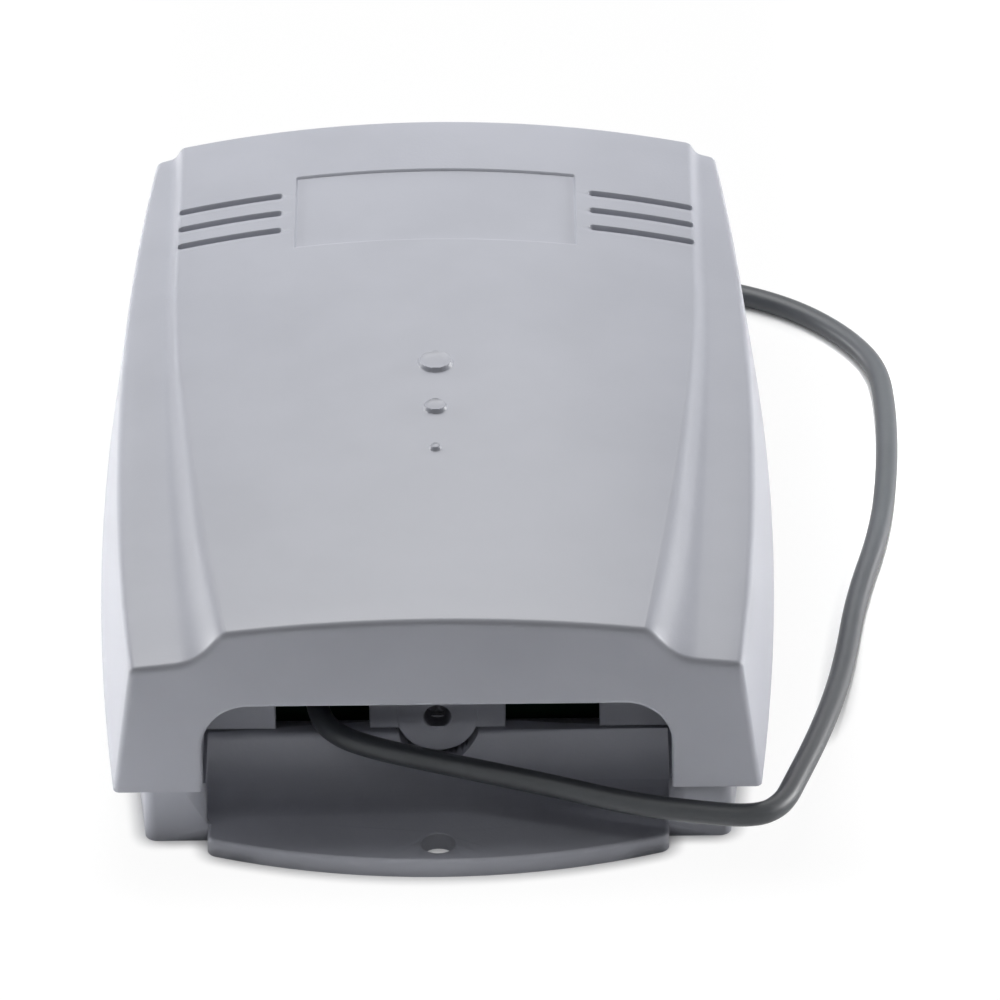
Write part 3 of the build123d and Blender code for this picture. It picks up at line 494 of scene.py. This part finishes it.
def lines_between(
    low: float, high: float, marks: list[tuple[float, float, float]], coarse: float
) -> np.ndarray:
    """Place grid lines, close together over marked stretches and wide apart elsewhere.

    Args:
        low: First line.
        high: Last line.
        marks: Stretches with their start, end and spacing.
        coarse: Spacing outside the marks.

    Returns:
        The lines' places in rising order.
    """
    places = [np.linspace(low, high, max(2, round((high - low) / coarse) + 1))]
    for start, end, step in marks:
        places[0] = places[0][(places[0] < start - step / 2) | (places[0] > end + step / 2)]
        places.append(np.linspace(start, end, max(2, round((end - start) / step) + 1)))
    lines = np.unique(np.round(np.concatenate(places), 4))
    return lines[(lines >= low) & (lines <= high)]


@dataclass
class Cover:
    """The moulded cover: lofted shell, panel details, cable bay with its slots, lug and cheeks.

    Attributes:
        section: The shell's cross-section.
        wall: Its wall.
        lean: How far the end walls lean in for each unit of height.
        lean_fade: Distance from an end over which the skin's rows stop leaning.
        end_round: Radius of the outer edges of both ends.
        inner_round: Radius of the same edges inside.
        inner_draw: How far the inner side of the opening's edge is drawn outwards.
        edge_rows: Rows of points along such an edge.
        far_ways: Heights of the far wall's rows, as shares.
        near_ways: Places of the near wall's rows between edge and opening, as shares.
        opening_half: Half the width of the cable opening in the near end.
        opening_top: Height of its top.
        opening_corner: Radius of its upper corners.
        opening_round: Radius of its edge.
        lip_round: Radius of the rim's edges.
        lip_angle: Degrees past which an edge gets that radius.
        label: Left, right, near and far edge of the label place.
        label_depth: Depth of the label place.
        label_edge: Width of its steep edges.
        label_slope: Factor on the near edge's distance: a small one makes a wide slope.
        lip_depth: Height of the slope at a vent's near lip.
        lip_reach: Width of that slope.
        lip_middle: Distance of its middle from the vent's edge.
        lip_side: Width over which it fades out at the vent's ends.
        vents: Places of the blind vents behind the front.
        vent_ends: X of their inner and outer ends.
        vent_half: Half a vent's width.
        vent_depth: A vent's depth.
        vent_edge: Width of its edge.
        vent_fade: Width of the strip beyond the panel in which a vent runs out.
        bumps: Place and radius of each round bump.
        bump_proud: Height of a bump's rim.
        bump_dish: Height of its middle, as a share of its rim's.
        bump_rim: Share of its radius where the rim stands.
        bump_edge: Width of its edge.
        bay_back: Distance of the bay's wall behind the front.
        bay_wall: Thickness of the bay's wall and cheeks.
        bay_low: Height of the wall's lower edge.
        room_half: Half the width between the cheeks.
        cheek_top: Height of the cheeks' upper edge, inside the shell.
        cheek_lap: How far the cheeks reach into the near wall.
        roof_lap: How far the bay's wall reaches into the shell.
        slot_inner: X of the slots' inner sides.
        slot_outer: X of the slots' outer sides.
        slot_top: Height of the slots' tops.
        slot_corner: Radius of their upper corners.
        lug_radius: Radius of the lug's lower end.
        lug_height: Height of the screw's hole.
        lug_thickness: The lug's thickness.
        lug_hole: Radius of the hole.
        lug_lap: How far the lug stands out of the wall.
        lug_rise: Height of the lug above its hole.
        plate_edge: Radius of the edges of wall and lug.
    """

    section: Section = Section()
    wall: float = 1.8
    lean: float = math.tan(math.radians(5.0))
    lean_fade: float = 8.0
    end_round: float = 0.5
    inner_round: float = 0.3
    inner_draw: float = 0.02
    edge_rows: int = 6
    far_ways: tuple[float, ...] = (0.0, 0.25, 0.5, 0.75, 0.93)
    near_ways: tuple[float, ...] = (0.06, 0.3, 0.55, 0.8, 0.96, 1.0)
    opening_half: float = 19.05
    opening_top: float = 14.2
    opening_corner: float = 3.8
    opening_round: float = 0.35
    lip_round: float = 0.3
    lip_angle: float = 78.0
    label: tuple[float, float, float, float] = (-12.15, 12.15, 61.3, 73.0)
    label_depth: float = 0.24
    label_edge: float = 0.2
    label_slope: float = 0.3
    lip_depth: float = 0.16
    lip_reach: float = 0.9
    lip_middle: float = 0.4
    lip_side: float = 0.4
    vents: tuple[float, float, float] = (64.45, 67.35, 70.25)
    vent_ends: tuple[float, float] = (13.45, 22.4)
    vent_half: float = 0.24
    vent_depth: float = 0.6
    vent_edge: float = 0.16
    vent_fade: float = 0.5
    bumps: tuple[tuple[float, float], ...] = ((40.75, 1.45), (33.7, 0.95), (27.35, 0.45))
    bump_proud: float = 0.38
    bump_dish: float = 0.6
    bump_rim: float = 0.93
    bump_edge: float = 0.16
    bay_back: float = 9.7
    bay_wall: float = 1.6
    bay_low: float = 5.95
    room_half: float = 19.15
    cheek_top: float = 16.5
    cheek_lap: float = 0.1
    roof_lap: float = 0.3
    slot_inner: float = 5.6
    slot_outer: float = 13.3
    slot_top: float = 10.95
    slot_corner: float = 1.5
    lug_radius: float = 3.35
    lug_height: float = 7.05
    lug_thickness: float = 2.4
    lug_hole: float = 1.1
    lug_lap: float = 0.06
    lug_rise: float = 6.0
    plate_edge: float = 0.15

    def crown_fractions(self) -> np.ndarray:
        """Fractions of the panel's half width where the crown has points, from 1 down to 0."""
        panel = self.section.half_width - self.section.panel_margin
        marks = [
            (0.0, 1.7, 0.1),
            (self.label[1] - 0.25, self.label[1] + 0.25, 0.08),
            (self.vent_ends[0] - 0.3, self.vent_ends[0] + 0.8, 0.1),
            (21.6, panel, 0.12),
        ]
        return lines_between(0.0, panel, marks, 1.5)[::-1] / panel

    def row_places(self) -> np.ndarray:
        """Distances behind the cover's front where the skin has rows, from far to near."""
        marks = [(y - 1.15, y + 0.45, 0.09) for y in self.vents]
        marks += [(edge - 0.6, edge + 0.3, 0.09) for edge in self.label[2:]]
        marks += [(y - r - 0.2, y + r + 0.2, 0.1) for y, r in self.bumps]
        return lines_between(1.1, self.length - 1.1, marks, 1.9)[::-1]

    @property
    def length(self) -> float:
        """The cover's length at its rim."""
        return FAR_END - COVER_FRONT

    def surface(self, places: np.ndarray, slant: np.ndarray, inset: np.ndarray) -> np.ndarray:
        """Work out rows of whole sections, with ends that lean in as they rise.

        A point's distance behind the front is its row's place plus the slant times its height
        above the rim, and the section is taken at that distance, found in a few rounds.

        Args:
            places: One distance behind the front for each row.
            slant: One slant for each row: positive leans to the far end.
            inset: One inset for each row.

        Returns:
            Points with the shape rows, columns, 3, from the left rim to the right rim.
        """
        crown = self.crown_fractions()
        s = self.section
        shape = (len(places), s.flank_points + len(crown))
        y = np.broadcast_to(places[:, None], shape).copy()
        draw = np.broadcast_to(inset[:, None], shape)
        for _ in range(4):
            x, z = s.half(y / self.length, draw, crown)
            y = places[:, None] + slant[:, None] * (z - s.rim)
        right = np.stack([x, y, z], -1)
        left = right * np.array([-1, 1, 1])
        return np.concatenate([left, right[:, -2::-1]], axis=1)

    def arch(self, columns: int, grow: float) -> np.ndarray:
        """The cable opening's outline, one point for each column: legs, two arcs and a top.

        Args:
            columns: Number of points from the left foot to the right foot.
            grow: How far the outline lies outside the opening.

        Returns:
            X and Z of each point.
        """
        s = self.section
        a, b = s.side_points, s.flank_points
        half = (columns + 1) // 2
        straight = self.opening_half - self.opening_corner
        corner_z = self.opening_top - self.opening_corner
        out = np.empty((half, 2))
        leg = np.linspace(0, 1, a, endpoint=False)
        out[:a] = np.stack([np.full(a, self.opening_half + grow), s.rim + (corner_z - s.rim) * leg], -1)
        turn = np.linspace(0, np.pi / 2, b - a, endpoint=False)
        radius = self.opening_corner + grow
        out[a:b] = np.stack([straight + radius * np.cos(turn), corner_z + radius * np.sin(turn)], -1)
        crown = self.crown_fractions()
        out[b:] = np.stack([straight * crown, np.full(half - b, self.opening_top + grow)], -1)
        left = out * np.array([-1, 1])
        return np.concatenate([left, out[-2::-1]], axis=0)

    def skin(self, deep: float, edge: float, places: np.ndarray) -> np.ndarray:
        """One side of the shell: far wall, rounded edge, skin, rounded edge and near wall.

        Args:
            deep: How far inside the outer faces it lies.
            edge: Radius of its two end edges.
            places: The rows' distances behind the front.

        Returns:
            Points with the shape rows, columns, 3, from the far wall's foot to the opening.
        """
        count = self.edge_rows
        turns = np.linspace(np.pi / 2, 0, count)
        near, far = deep, self.length - deep
        low, high = near + edge, far - edge
        middle = low + (places - places[-1]) * (high - low) / (places[0] - places[-1])
        middle = middle if deep else np.clip(places, low, high)
        fade_far = np.clip(1 - (high - middle) / self.lean_fade, 0, 1)
        fade_near = np.clip(1 - (middle - low) / self.lean_fade, 0, 1)
        far_rows = high + edge * np.sin(turns)
        near_rows = (low - edge * np.sin(turns))[::-1]
        rows = np.concatenate([far_rows, middle[1:-1], near_rows])
        leaning = (fade_near - fade_far)[1:-1] * self.lean
        slant = np.concatenate([np.full(count, -self.lean), leaning, np.full(count, self.lean)])
        draws = deep + edge * (1 - np.cos(turns))
        inset = np.concatenate([draws, np.full(len(middle) - 2, deep), draws[::-1]])
        body = self.surface(rows, slant, inset)
        rim = self.section.rim
        ways = np.array(self.far_ways)[:, None, None]
        top = body[0][None]
        foot = top.copy()
        foot[..., 2] = rim
        foot[..., 1] = far
        far_wall = foot + (top - foot) * ways
        columns = body.shape[1]
        grow = 0.0 if deep else self.opening_round
        outline = self.arch(columns, grow)
        outline = np.stack([outline[:, 0], near + self.lean * (outline[:, 1] - rim), outline[:, 1]], -1)
        ways = np.array(self.near_ways)[:, None, None]
        near_wall = body[-1][None] + (outline - body[-1])[None] * ways
        rounds = []
        for turn in np.linspace(0, np.pi / 2, count)[1:]:
            out = self.arch(columns, grow * (1 - math.sin(turn)))
            y = near + self.lean * (out[:, 1] - rim)
            drawn = -self.inner_draw * math.sin(turn)
            rounded = self.opening_round * (1 - math.cos(turn))
            y += drawn if deep else rounded
            rounds.append(np.stack([out[:, 0], y, out[:, 1]], -1))
        return np.concatenate([far_wall, body, near_wall, np.stack(rounds)], axis=0)

    def relief(self, x: np.ndarray, y: np.ndarray) -> np.ndarray:
        """Height added to the panel: a sunk label place, blind vents and round bumps.

        The label place is a rectangle's signed distance through a soft step that is wider at
        the near edge. A vent is the distance from a short segment, with a sloping near lip. A
        bump is a shallow dish with a raised rim, by distance from its middle.

        Args:
            x: The points' X.
            y: The points' distances behind the front.

        Returns:
            Millimetres to add to each point's Z.
        """
        _, right, near, far = self.label
        dx = np.abs(x) - right
        dy = np.maximum((near - y) * self.label_slope, y - far)
        rise = -self.label_depth * smooth_edge(np.maximum(dx, dy), self.label_edge)
        start, end = self.vent_ends[0] + self.vent_half, self.vent_ends[1] - self.vent_half
        crown = self.section.half_width - self.section.panel_margin
        fade = np.clip((crown - np.abs(x)) / self.vent_fade + 1, 0, 1)
        for place in self.vents:
            along = np.clip(np.abs(x), start, end)
            away = np.hypot(np.abs(x) - along, y - place) - self.vent_half
            rise -= self.vent_depth * smooth_edge(away, self.vent_edge) * fade
            near_side = smooth_edge(y - place + self.lip_side / 4, self.lip_side) * fade
            slope = smooth_edge(away - self.lip_middle, self.lip_reach)
            rise -= self.lip_depth * slope * near_side
        for place, radius in self.bumps:
            share = np.hypot(x, y - place) / radius
            dish = self.bump_dish + (1 - self.bump_dish) * np.clip(share / self.bump_rim, 0, 1) ** 4
            rise += self.bump_proud * dish * smooth_edge((share - 1) * radius, self.bump_edge)
        return rise

    def shell(self, finish: bpy.types.Material) -> bpy.types.Object:
        """Join the outer and the inner side into one closed shell.

        Args:
            finish: The shell's material.

        Returns:
            The shell.
        """
        places = self.row_places()
        outer = self.skin(0.0, self.end_round, places)
        inner = self.skin(self.wall, self.inner_round, places)
        first = len(self.far_ways) + self.edge_rows
        last = first + len(places) - 2
        side = self.section.flank_points - self.section.step_points
        panel = outer[first:last, side : outer.shape[1] - side]
        panel[..., 2] += self.relief(panel[..., 0], panel[..., 1])
        rows, columns = outer.shape[:2]
        points = np.concatenate([outer.reshape(-1, 3), inner.reshape(-1, 3)])
        count = rows * columns
        faces = [quads_of(rows, columns, 0), quads_of(rows, columns, count, flip=True)]
        grid = np.arange(count).reshape(rows, columns)
        ends = ((grid[0], True), (grid[-1], False), (grid[:, 0], False), (grid[:, -1], True))
        for line, turn in ends:
            strip = np.stack([line[:-1], line[1:], line[1:] + count, line[:-1] + count], axis=1)
            faces.append(strip[:, ::-1] if turn else strip)
        points[:, 1] += COVER_FRONT
        shell = new_piece("cover_shell", points, np.concatenate(faces), finish)
        lip = shell.modifiers.new("lip", "BEVEL")
        lip.width = self.lip_round * MM
        lip.segments = 3
        lip.limit_method = "ANGLE"
        lip.angle_limit = math.radians(self.lip_angle)
        return shell

    def bay(self, finish: bpy.types.Material) -> list[bpy.types.Object]:
        """Make the wall behind the cable bay with its two slots, and the lug on it.

        Args:
            finish: Their material.

        Returns:
            The pieces.
        """
        side = self.room_half + self.bay_wall
        x, z = self.roof((self.bay_back + self.bay_wall / 2) / self.length)
        inside = np.abs(x) < side
        roof = list(zip(x[inside], z[inside]))
        low, top, corner = self.bay_low, self.slot_top, self.slot_corner
        outline = [(-side, low), (-side, roof[0][1])] + roof + [(side, roof[-1][1]), (side, low)]
        turns = np.linspace(0, np.pi / 2, 7)
        reach = corner * (1 - np.cos(turns))
        rise = corner * (1 - np.sin(turns))
        for sign in (1, -1):
            a, b = sorted((sign * self.slot_inner, sign * self.slot_outer), reverse=True)
            outline.append((a, low))
            outline += zip(a - reach, top - rise)
            outline += zip(b + rise, top - reach)
            outline.append((b, low))
        back = COVER_FRONT + self.bay_back
        r, h = self.lug_radius, self.lug_height
        turns = np.linspace(0, -np.pi, 25)
        plate = list(zip(r * np.cos(turns), h + r * np.sin(turns)))
        plate += [(-r, h + self.lug_rise), (r, h + self.lug_rise)]
        turns = np.linspace(0, 2 * np.pi, 28, endpoint=False)
        hole = list(zip(self.lug_hole * np.cos(turns), h + self.lug_hole * np.sin(turns)))
        edge, lap = self.plate_edge, self.lug_lap
        thick = self.lug_thickness + lap
        return [
            upright_plate("cover_bay_wall", [outline, hole], back, self.bay_wall, edge, finish),
            upright_plate("cover_lug", [plate, hole], back - lap, thick, edge, finish),
        ]

    def roof(self, share: float) -> tuple[np.ndarray, np.ndarray]:
        """X and Z across the cover's inside at a share of its length, from left to right."""
        crown = self.crown_fractions()
        shape = (1, self.section.flank_points + len(crown))
        inset = np.full(shape, self.wall - self.roof_lap)
        x, z = self.section.half(np.full(shape, share), inset, crown)
        x, z = x[0, ::3], z[0, ::3]
        return np.concatenate([-x, x[::-1]]), np.concatenate([z, z[::-1]])

    def cheeks(self, finish: bpy.types.Material) -> list[bpy.types.Object]:
        """The two walls beside the cable bay, as flat plates from front to back."""
        pieces = []
        rim = self.section.rim
        front, end = self.wall - self.cheek_lap, self.bay_back + self.bay_wall
        faces = np.array(
            [[0, 2, 3, 1], [4, 5, 7, 6], [0, 1, 5, 4], [2, 6, 7, 3], [0, 4, 6, 2], [1, 3, 7, 5]]
        )
        for name, sign in (("cover_cheek_left", -1), ("cover_cheek_right", 1)):
            low, high = sorted((sign * self.room_half, sign * (self.room_half + self.bay_wall)))
            corners = np.array(
                [
                    (x, COVER_FRONT + y, z)
                    for z in (rim, self.cheek_top)
                    for y in (front, end)
                    for x in (low, high)
                ]
            )
            pieces.append(new_piece(name, corners, faces, finish))
        return pieces

    def build(self) -> None:
        """Make every piece of the cover and set it on the cover's body."""
        finish = COVER_ABS.build()
        shell = self.shell(finish)
        pieces = [shell] + self.bay(finish) + self.cheeks(finish)
        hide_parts("cover")
        for piece in pieces:
            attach(piece, Body.COVER.value)
            LOG.info("made %s with %d faces", piece.name, len(piece.data.polygons))


def upright_plate(
    name: str,
    loops: list[list[tuple[float, float]]],
    back: float,
    thickness: float,
    edge: float,
    finish: bpy.types.Material,
) -> bpy.types.Object:
    """Make a plate with rounded edges from outlines in the XZ plane.

    Args:
        name: The piece's name.
        loops: The outline and its holes, each a list of X and Z.
        back: Y of the plate's near face.
        thickness: The plate's thickness along Y.
        edge: Radius of its edges.
        finish: Its material.

    Returns:
        The plate as a mesh at the origin.
    """
    curve = bpy.data.curves.new(name, "CURVE")
    curve.dimensions = "2D"
    curve.fill_mode = "BOTH"
    curve.extrude = (thickness / 2 - edge) * MM
    curve.bevel_depth = edge * MM
    curve.bevel_resolution = 2
    curve.offset = -edge * MM
    for loop in loops:
        spline = curve.splines.new("POLY")
        spline.points.add(len(loop) - 1)
        for point, (x, z) in zip(spline.points, loop):
            point.co = (x * MM, z * MM, 0, 1)
        spline.use_cyclic_u = True
    flat = bpy.data.objects.new(name + "_outline", curve)
    bpy.context.scene.collection.objects.link(flat)
    bpy.context.view_layer.update()
    graph = bpy.context.evaluated_depsgraph_get()
    mesh = bpy.data.meshes.new_from_object(flat.evaluated_get(graph))
    bpy.data.objects.remove(flat)
    place = Matrix.Translation((0, (back + thickness / 2) * MM, 0))
    mesh.transform(place @ Matrix.Rotation(math.pi / 2, 4, "X"))
    mesh.materials.clear()
    mesh.materials.append(finish)
    mesh.shade_smooth()
    mesh.set_sharp_from_angle(angle=math.radians(PLATE_SHARP))
    piece = bpy.data.objects.new(name, mesh)
    bpy.context.scene.collection.objects.link(piece)
    return piece


def smoothed_copy(
    node: str, source: bpy.types.Object, finish: bpy.types.Material
) -> bpy.types.Object:
    """Copy a solid's mesh, merge its loose triangles and shade its round faces smooth.

    Args:
        node: The node that the copy stands for.
        source: The node's object.
        finish: The copy's material.

    Returns:
        The copy, at the origin.
    """
    mesh = source.data.copy()
    work = bmesh.new()
    work.from_mesh(mesh)
    bmesh.ops.remove_doubles(work, verts=work.verts, dist=MERGE_DISTANCE)
    work.to_mesh(mesh)
    work.free()
    mesh.materials.clear()
    mesh.materials.append(finish)
    mesh.shade_smooth()
    mesh.set_sharp_from_angle(angle=math.radians(COPY_SHARP))
    piece = bpy.data.objects.new(node + "_finished", mesh)
    bpy.context.scene.collection.objects.link(piece)
    flat = piece.modifiers.new("flat_faces", "WEIGHTED_NORMAL")
    flat.keep_sharp = True
    flat.weight = FACE_WEIGHT
    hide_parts(node)
    return piece


@dataclass
class AerialWire:
    """The insulated aerial wire, from its terminal round the case to its free end.

    Attributes:
        diameter: Its outer diameter.
        length: Length of its insulated part; not used.
        route: Points that its curve follows, with Y measured from the cover's front.
    """

    diameter: float = 1.9
    length: float = 168.7
    route: tuple[tuple[float, float, float], ...] = (
        (-10.05, 14.1, 8.0),
        (-10.05, 10.7, 7.05),
        (-8.4, 7.75, 6.65),
        (-5.1, 6.15, 6.35),
        (-0.9, 4.85, 6.1),
        (4.2, 3.38, 5.75),
        (9.6, 1.85, 5.4),
        (15.2, 0.1, 4.95),
        (21.0, -0.85, 4.6),
        (25.9, -1.15, 4.3),
        (28.1, 1.0, 4.0),
        (29.3, 4.9, 3.7),
        (31.2, 11.6, 2.9),
        (33.0, 19.4, 1.8),
        (34.3, 26.6, 1.1),
        (35.6, 36.0, 0.98),
        (38.1, 46.3, 0.98),
        (39.2, 56.5, 0.98),
        (39.5, 66.0, 0.98),
        (39.1, 73.2, 0.98),
        (36.2, 78.8, 0.98),
        (31.6, 83.6, 0.98),
        (25.2, 86.9, 0.98),
        (17.4, 88.8, 0.98),
        (8.6, 89.7, 0.98),
        (0.6, 88.9, 0.98),
        (-4.1, 87.8, 0.98),
    )

    def build(self) -> None:
        """Make the wire on one smooth curve through its route."""
        curve = bpy.data.curves.new("aerial_wire_sleeve", "CURVE")
        curve.dimensions = "3D"
        curve.bevel_depth = self.diameter / 2 * MM
        curve.bevel_resolution = 6
        curve.resolution_u = 12
        curve.use_fill_caps = True
        spline = curve.splines.new("NURBS")
        spline.points.add(len(self.route) - 1)
        for point, (x, y, z) in zip(spline.points, self.route):
            point.co = (x * MM, (COVER_FRONT + y) * MM, z * MM, 1)
        spline.order_u = 3
        spline.use_endpoint_u = True
        wire = bpy.data.objects.new("aerial_wire_sleeve", curve)
        bpy.context.scene.collection.objects.link(wire)
        curve.materials.append(WIRE_PVC.build())
        x, y, z = self.route[0]
        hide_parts("aerial_wire")
        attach(wire, Body.BASE.value)
        LOG.info("made %s", wire.name)


@dataclass(frozen=True)
class Lamp:
    """A soft rectangular lamp that the camera doesn't see.

    Attributes:
        name: The lamp's name.
        place: Its place in metres.
        size: Its two sides in metres.
        watts: Its power.
        beam: Degrees of a narrow beam straight down at the table. Without it the lamp faces
            the receiver.
    """

    name: str
    place: tuple[float, float, float]
    size: tuple[float, float]
    watts: float
    beam: float | None = None

    def build(self) -> None:
        """Make the lamp and turn it to what it lights."""
        data = bpy.data.lights.new(self.name, "AREA")
        data.shape = "RECTANGLE"
        data.size, data.size_y = self.size
        data.energy = self.watts
        lamp = bpy.data.objects.new(self.name, data)
        lamp.location = self.place
        lamp.visible_camera = False
        if self.beam is None:
            aim = Vector((0, 0, 0.01)) - Vector(self.place)
            lamp.rotation_euler = aim.to_track_quat("-Z", "Y").to_euler()
        else:
            data.spread = math.radians(self.beam)
        bpy.context.scene.collection.objects.link(lamp)


LAMPS = (
    # The main light stands low over the far end, so the panel's grey falls off to the front.
    Lamp("softbox_above", (-0.02, 0.085, 0.15), (0.16, 0.09), 0.23),
    Lamp("strip_above", (0.0, -0.25, 0.9), (0.5, 0.08), 0.42),
    # Two softboxes near the table's height make the sides the palest faces.
    Lamp("softbox_left", (-0.85, 0.4, 0.14), (0.4, 0.16), 4.0),
    Lamp("softbox_right", (0.85, 0.35, 0.12), (0.4, 0.2), 5.5),
    # Narrow beams light only the table, which then lights the lower walls.
    Lamp("table_left", (-0.13, 0.05, 0.25), (0.18, 0.2), 1.5, beam=8.0),
    Lamp("table_right", (0.135, 0.05, 0.25), (0.18, 0.2), 0.8, beam=8.0),
    Lamp("table_front", (0.0, -0.06, 0.25), (0.2, 0.028), 0.023, beam=3.0),
)


@dataclass
class Studio:
    """Camera, lamps, world and floor.

    Attributes:
        target: The point that the camera was fitted around, in millimetres.
        elevation: The camera's angle above the table, in radians.
        yaw: Its angle to the right of the front, in radians.
        roll: Its turn about its own axis, in radians.
        distance: Its distance from the target.
        across: Its shift to the right.
        upward: Its shift upwards.
        lens: Focal length for a sensor 36 mm wide.
        world_light: Strength of the world as light.
        floor_glow: Share of plain white in the floor as the camera sees it.
        contact: Distance in metres within which ambient occlusion fades that white, a painted
            contact shade beside pieces and in holes.
        contact_power: Power by which that painted shade falls off.
    """

    target: tuple[float, float, float] = (0.0, 0.1, 8.0)
    elevation: float = 0.571179
    yaw: float = -0.0010648
    roll: float = -0.0095846
    distance: float = 704.892
    across: float = 5.3304
    upward: float = 0.6159
    lens: float = 298.04
    world_light: float = 0.17
    floor_glow: float = 0.95
    contact: float = 0.0015
    contact_power: float = 2.0

    def camera(self) -> None:
        """Set the camera at the photograph's place, turn and lens."""
        e, a, r = self.elevation, self.yaw, self.roll
        back = Vector((math.sin(a) * math.cos(e), -math.cos(a) * math.cos(e), math.sin(e)))
        level = Vector((math.cos(a), math.sin(a), 0))
        upper = back.cross(level)
        right = level * math.cos(r) + upper * math.sin(r)
        above = upper * math.cos(r) - level * math.sin(r)
        place = Vector(self.target) + right * self.across + above * self.upward + back * self.distance
        data = bpy.data.cameras.new("camera")
        data.sensor_width = 36.0
        data.lens = self.lens
        data.clip_start = 0.05
        data.clip_end = 20.0
        camera = bpy.data.objects.new("camera", data)
        bpy.context.scene.collection.objects.link(camera)
        turn = Matrix((right, above, back)).transposed().to_4x4()
        camera.matrix_world = Matrix.Translation(place * MM) @ turn
        bpy.context.scene.camera = camera

    def world(self) -> None:
        """A pale world: white to the camera and in reflections, dimmer as light."""
        world = bpy.data.worlds.new("studio")
        bpy.context.scene.world = world
        world.use_nodes = True
        tree = world.node_tree
        strength = add_node(
            tree,
            "ShaderNodeMapRange",
            {"To Min": self.world_light, "To Max": 1.0},
            {"Value": seen_or_mirrored(tree)},
        )
        background = tree.nodes["Background"]
        background.inputs["Color"].default_value = (1, 1, 1, 1)
        tree.links.new(strength.outputs["Result"], background.inputs["Strength"])

    def floor(self) -> None:
        """A pale floor, nearly white to the camera: its real soft shadow, with painted contact shade.
        """
        mesh = bpy.data.meshes.new("floor")
        mesh.from_pydata([(-6, -6, 0), (6, -6, 0), (6, 6, 0), (-6, 6, 0)], [], [(0, 1, 2, 3)])
        material = bpy.data.materials.new("floor_paper")
        material.use_nodes = True
        tree = material.node_tree
        tree.nodes.clear()
        paper = add_node(tree, "ShaderNodeBsdfDiffuse", {"Color": (0.86, 0.86, 0.86, 1)})
        glow = add_node(tree, "ShaderNodeEmission", {"Color": (1, 1, 1, 1), "Strength": 1.0})
        # Ambient occlusion fades the white beside pieces and in the tongue's hole: painted contact
        # shade.
        open_sky = add_node(
            tree, "ShaderNodeAmbientOcclusion", {"Distance": self.contact, "samples": 12}
        ).outputs["AO"]
        clear = add_math(tree, "POWER", open_sky, self.contact_power)
        white = add_math(tree, "MULTIPLY", seen_or_mirrored(tree), clear)
        share = add_math(tree, "MULTIPLY", white, self.floor_glow)
        mix = add_node(tree, "ShaderNodeMixShader", links={"Fac": share})
        tree.links.new(paper.outputs["BSDF"], mix.inputs[1])
        tree.links.new(glow.outputs["Emission"], mix.inputs[2])
        add_node(tree, "ShaderNodeOutputMaterial", links={"Surface": mix.outputs["Shader"]})
        mesh.materials.append(material)
        floor = bpy.data.objects.new("floor", mesh)
        bpy.context.scene.collection.objects.link(floor)

    def build(self) -> None:
        """Make camera, lamps, world and floor."""
        self.camera()
        self.world()
        self.floor()
        for lamp in LAMPS:
            lamp.build()


def main() -> None:
    """Load the solids, build every piece in order and note the sizes."""
    logging.basicConfig(level=logging.INFO, format="%(name)s: %(message)s")
    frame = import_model()
    bpy.context.scene.view_settings.view_transform = "Standard"
    Studio().build()
    AerialWire().build()
    Cover().build()
    finishes: dict[str, bpy.types.Material] = {}
    for node, finish in NODE_FINISHES.items():
        if finish.name not in finishes:
            finishes[finish.name] = finish.build()
        smoothed_copy(node, frame["nodes"][node], finishes[finish.name])
    for body, members in frame["record"]["behaviour"]["bodies"].items():
        for node in members:
            if node in NODE_FINISHES:
                copy = bpy.data.objects[node + "_finished"]
                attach(copy, body)
                LOG.info("finished %s on %s", node, body)
    bpy.context.view_layer.update()


if __name__ == "__main__":
    main()
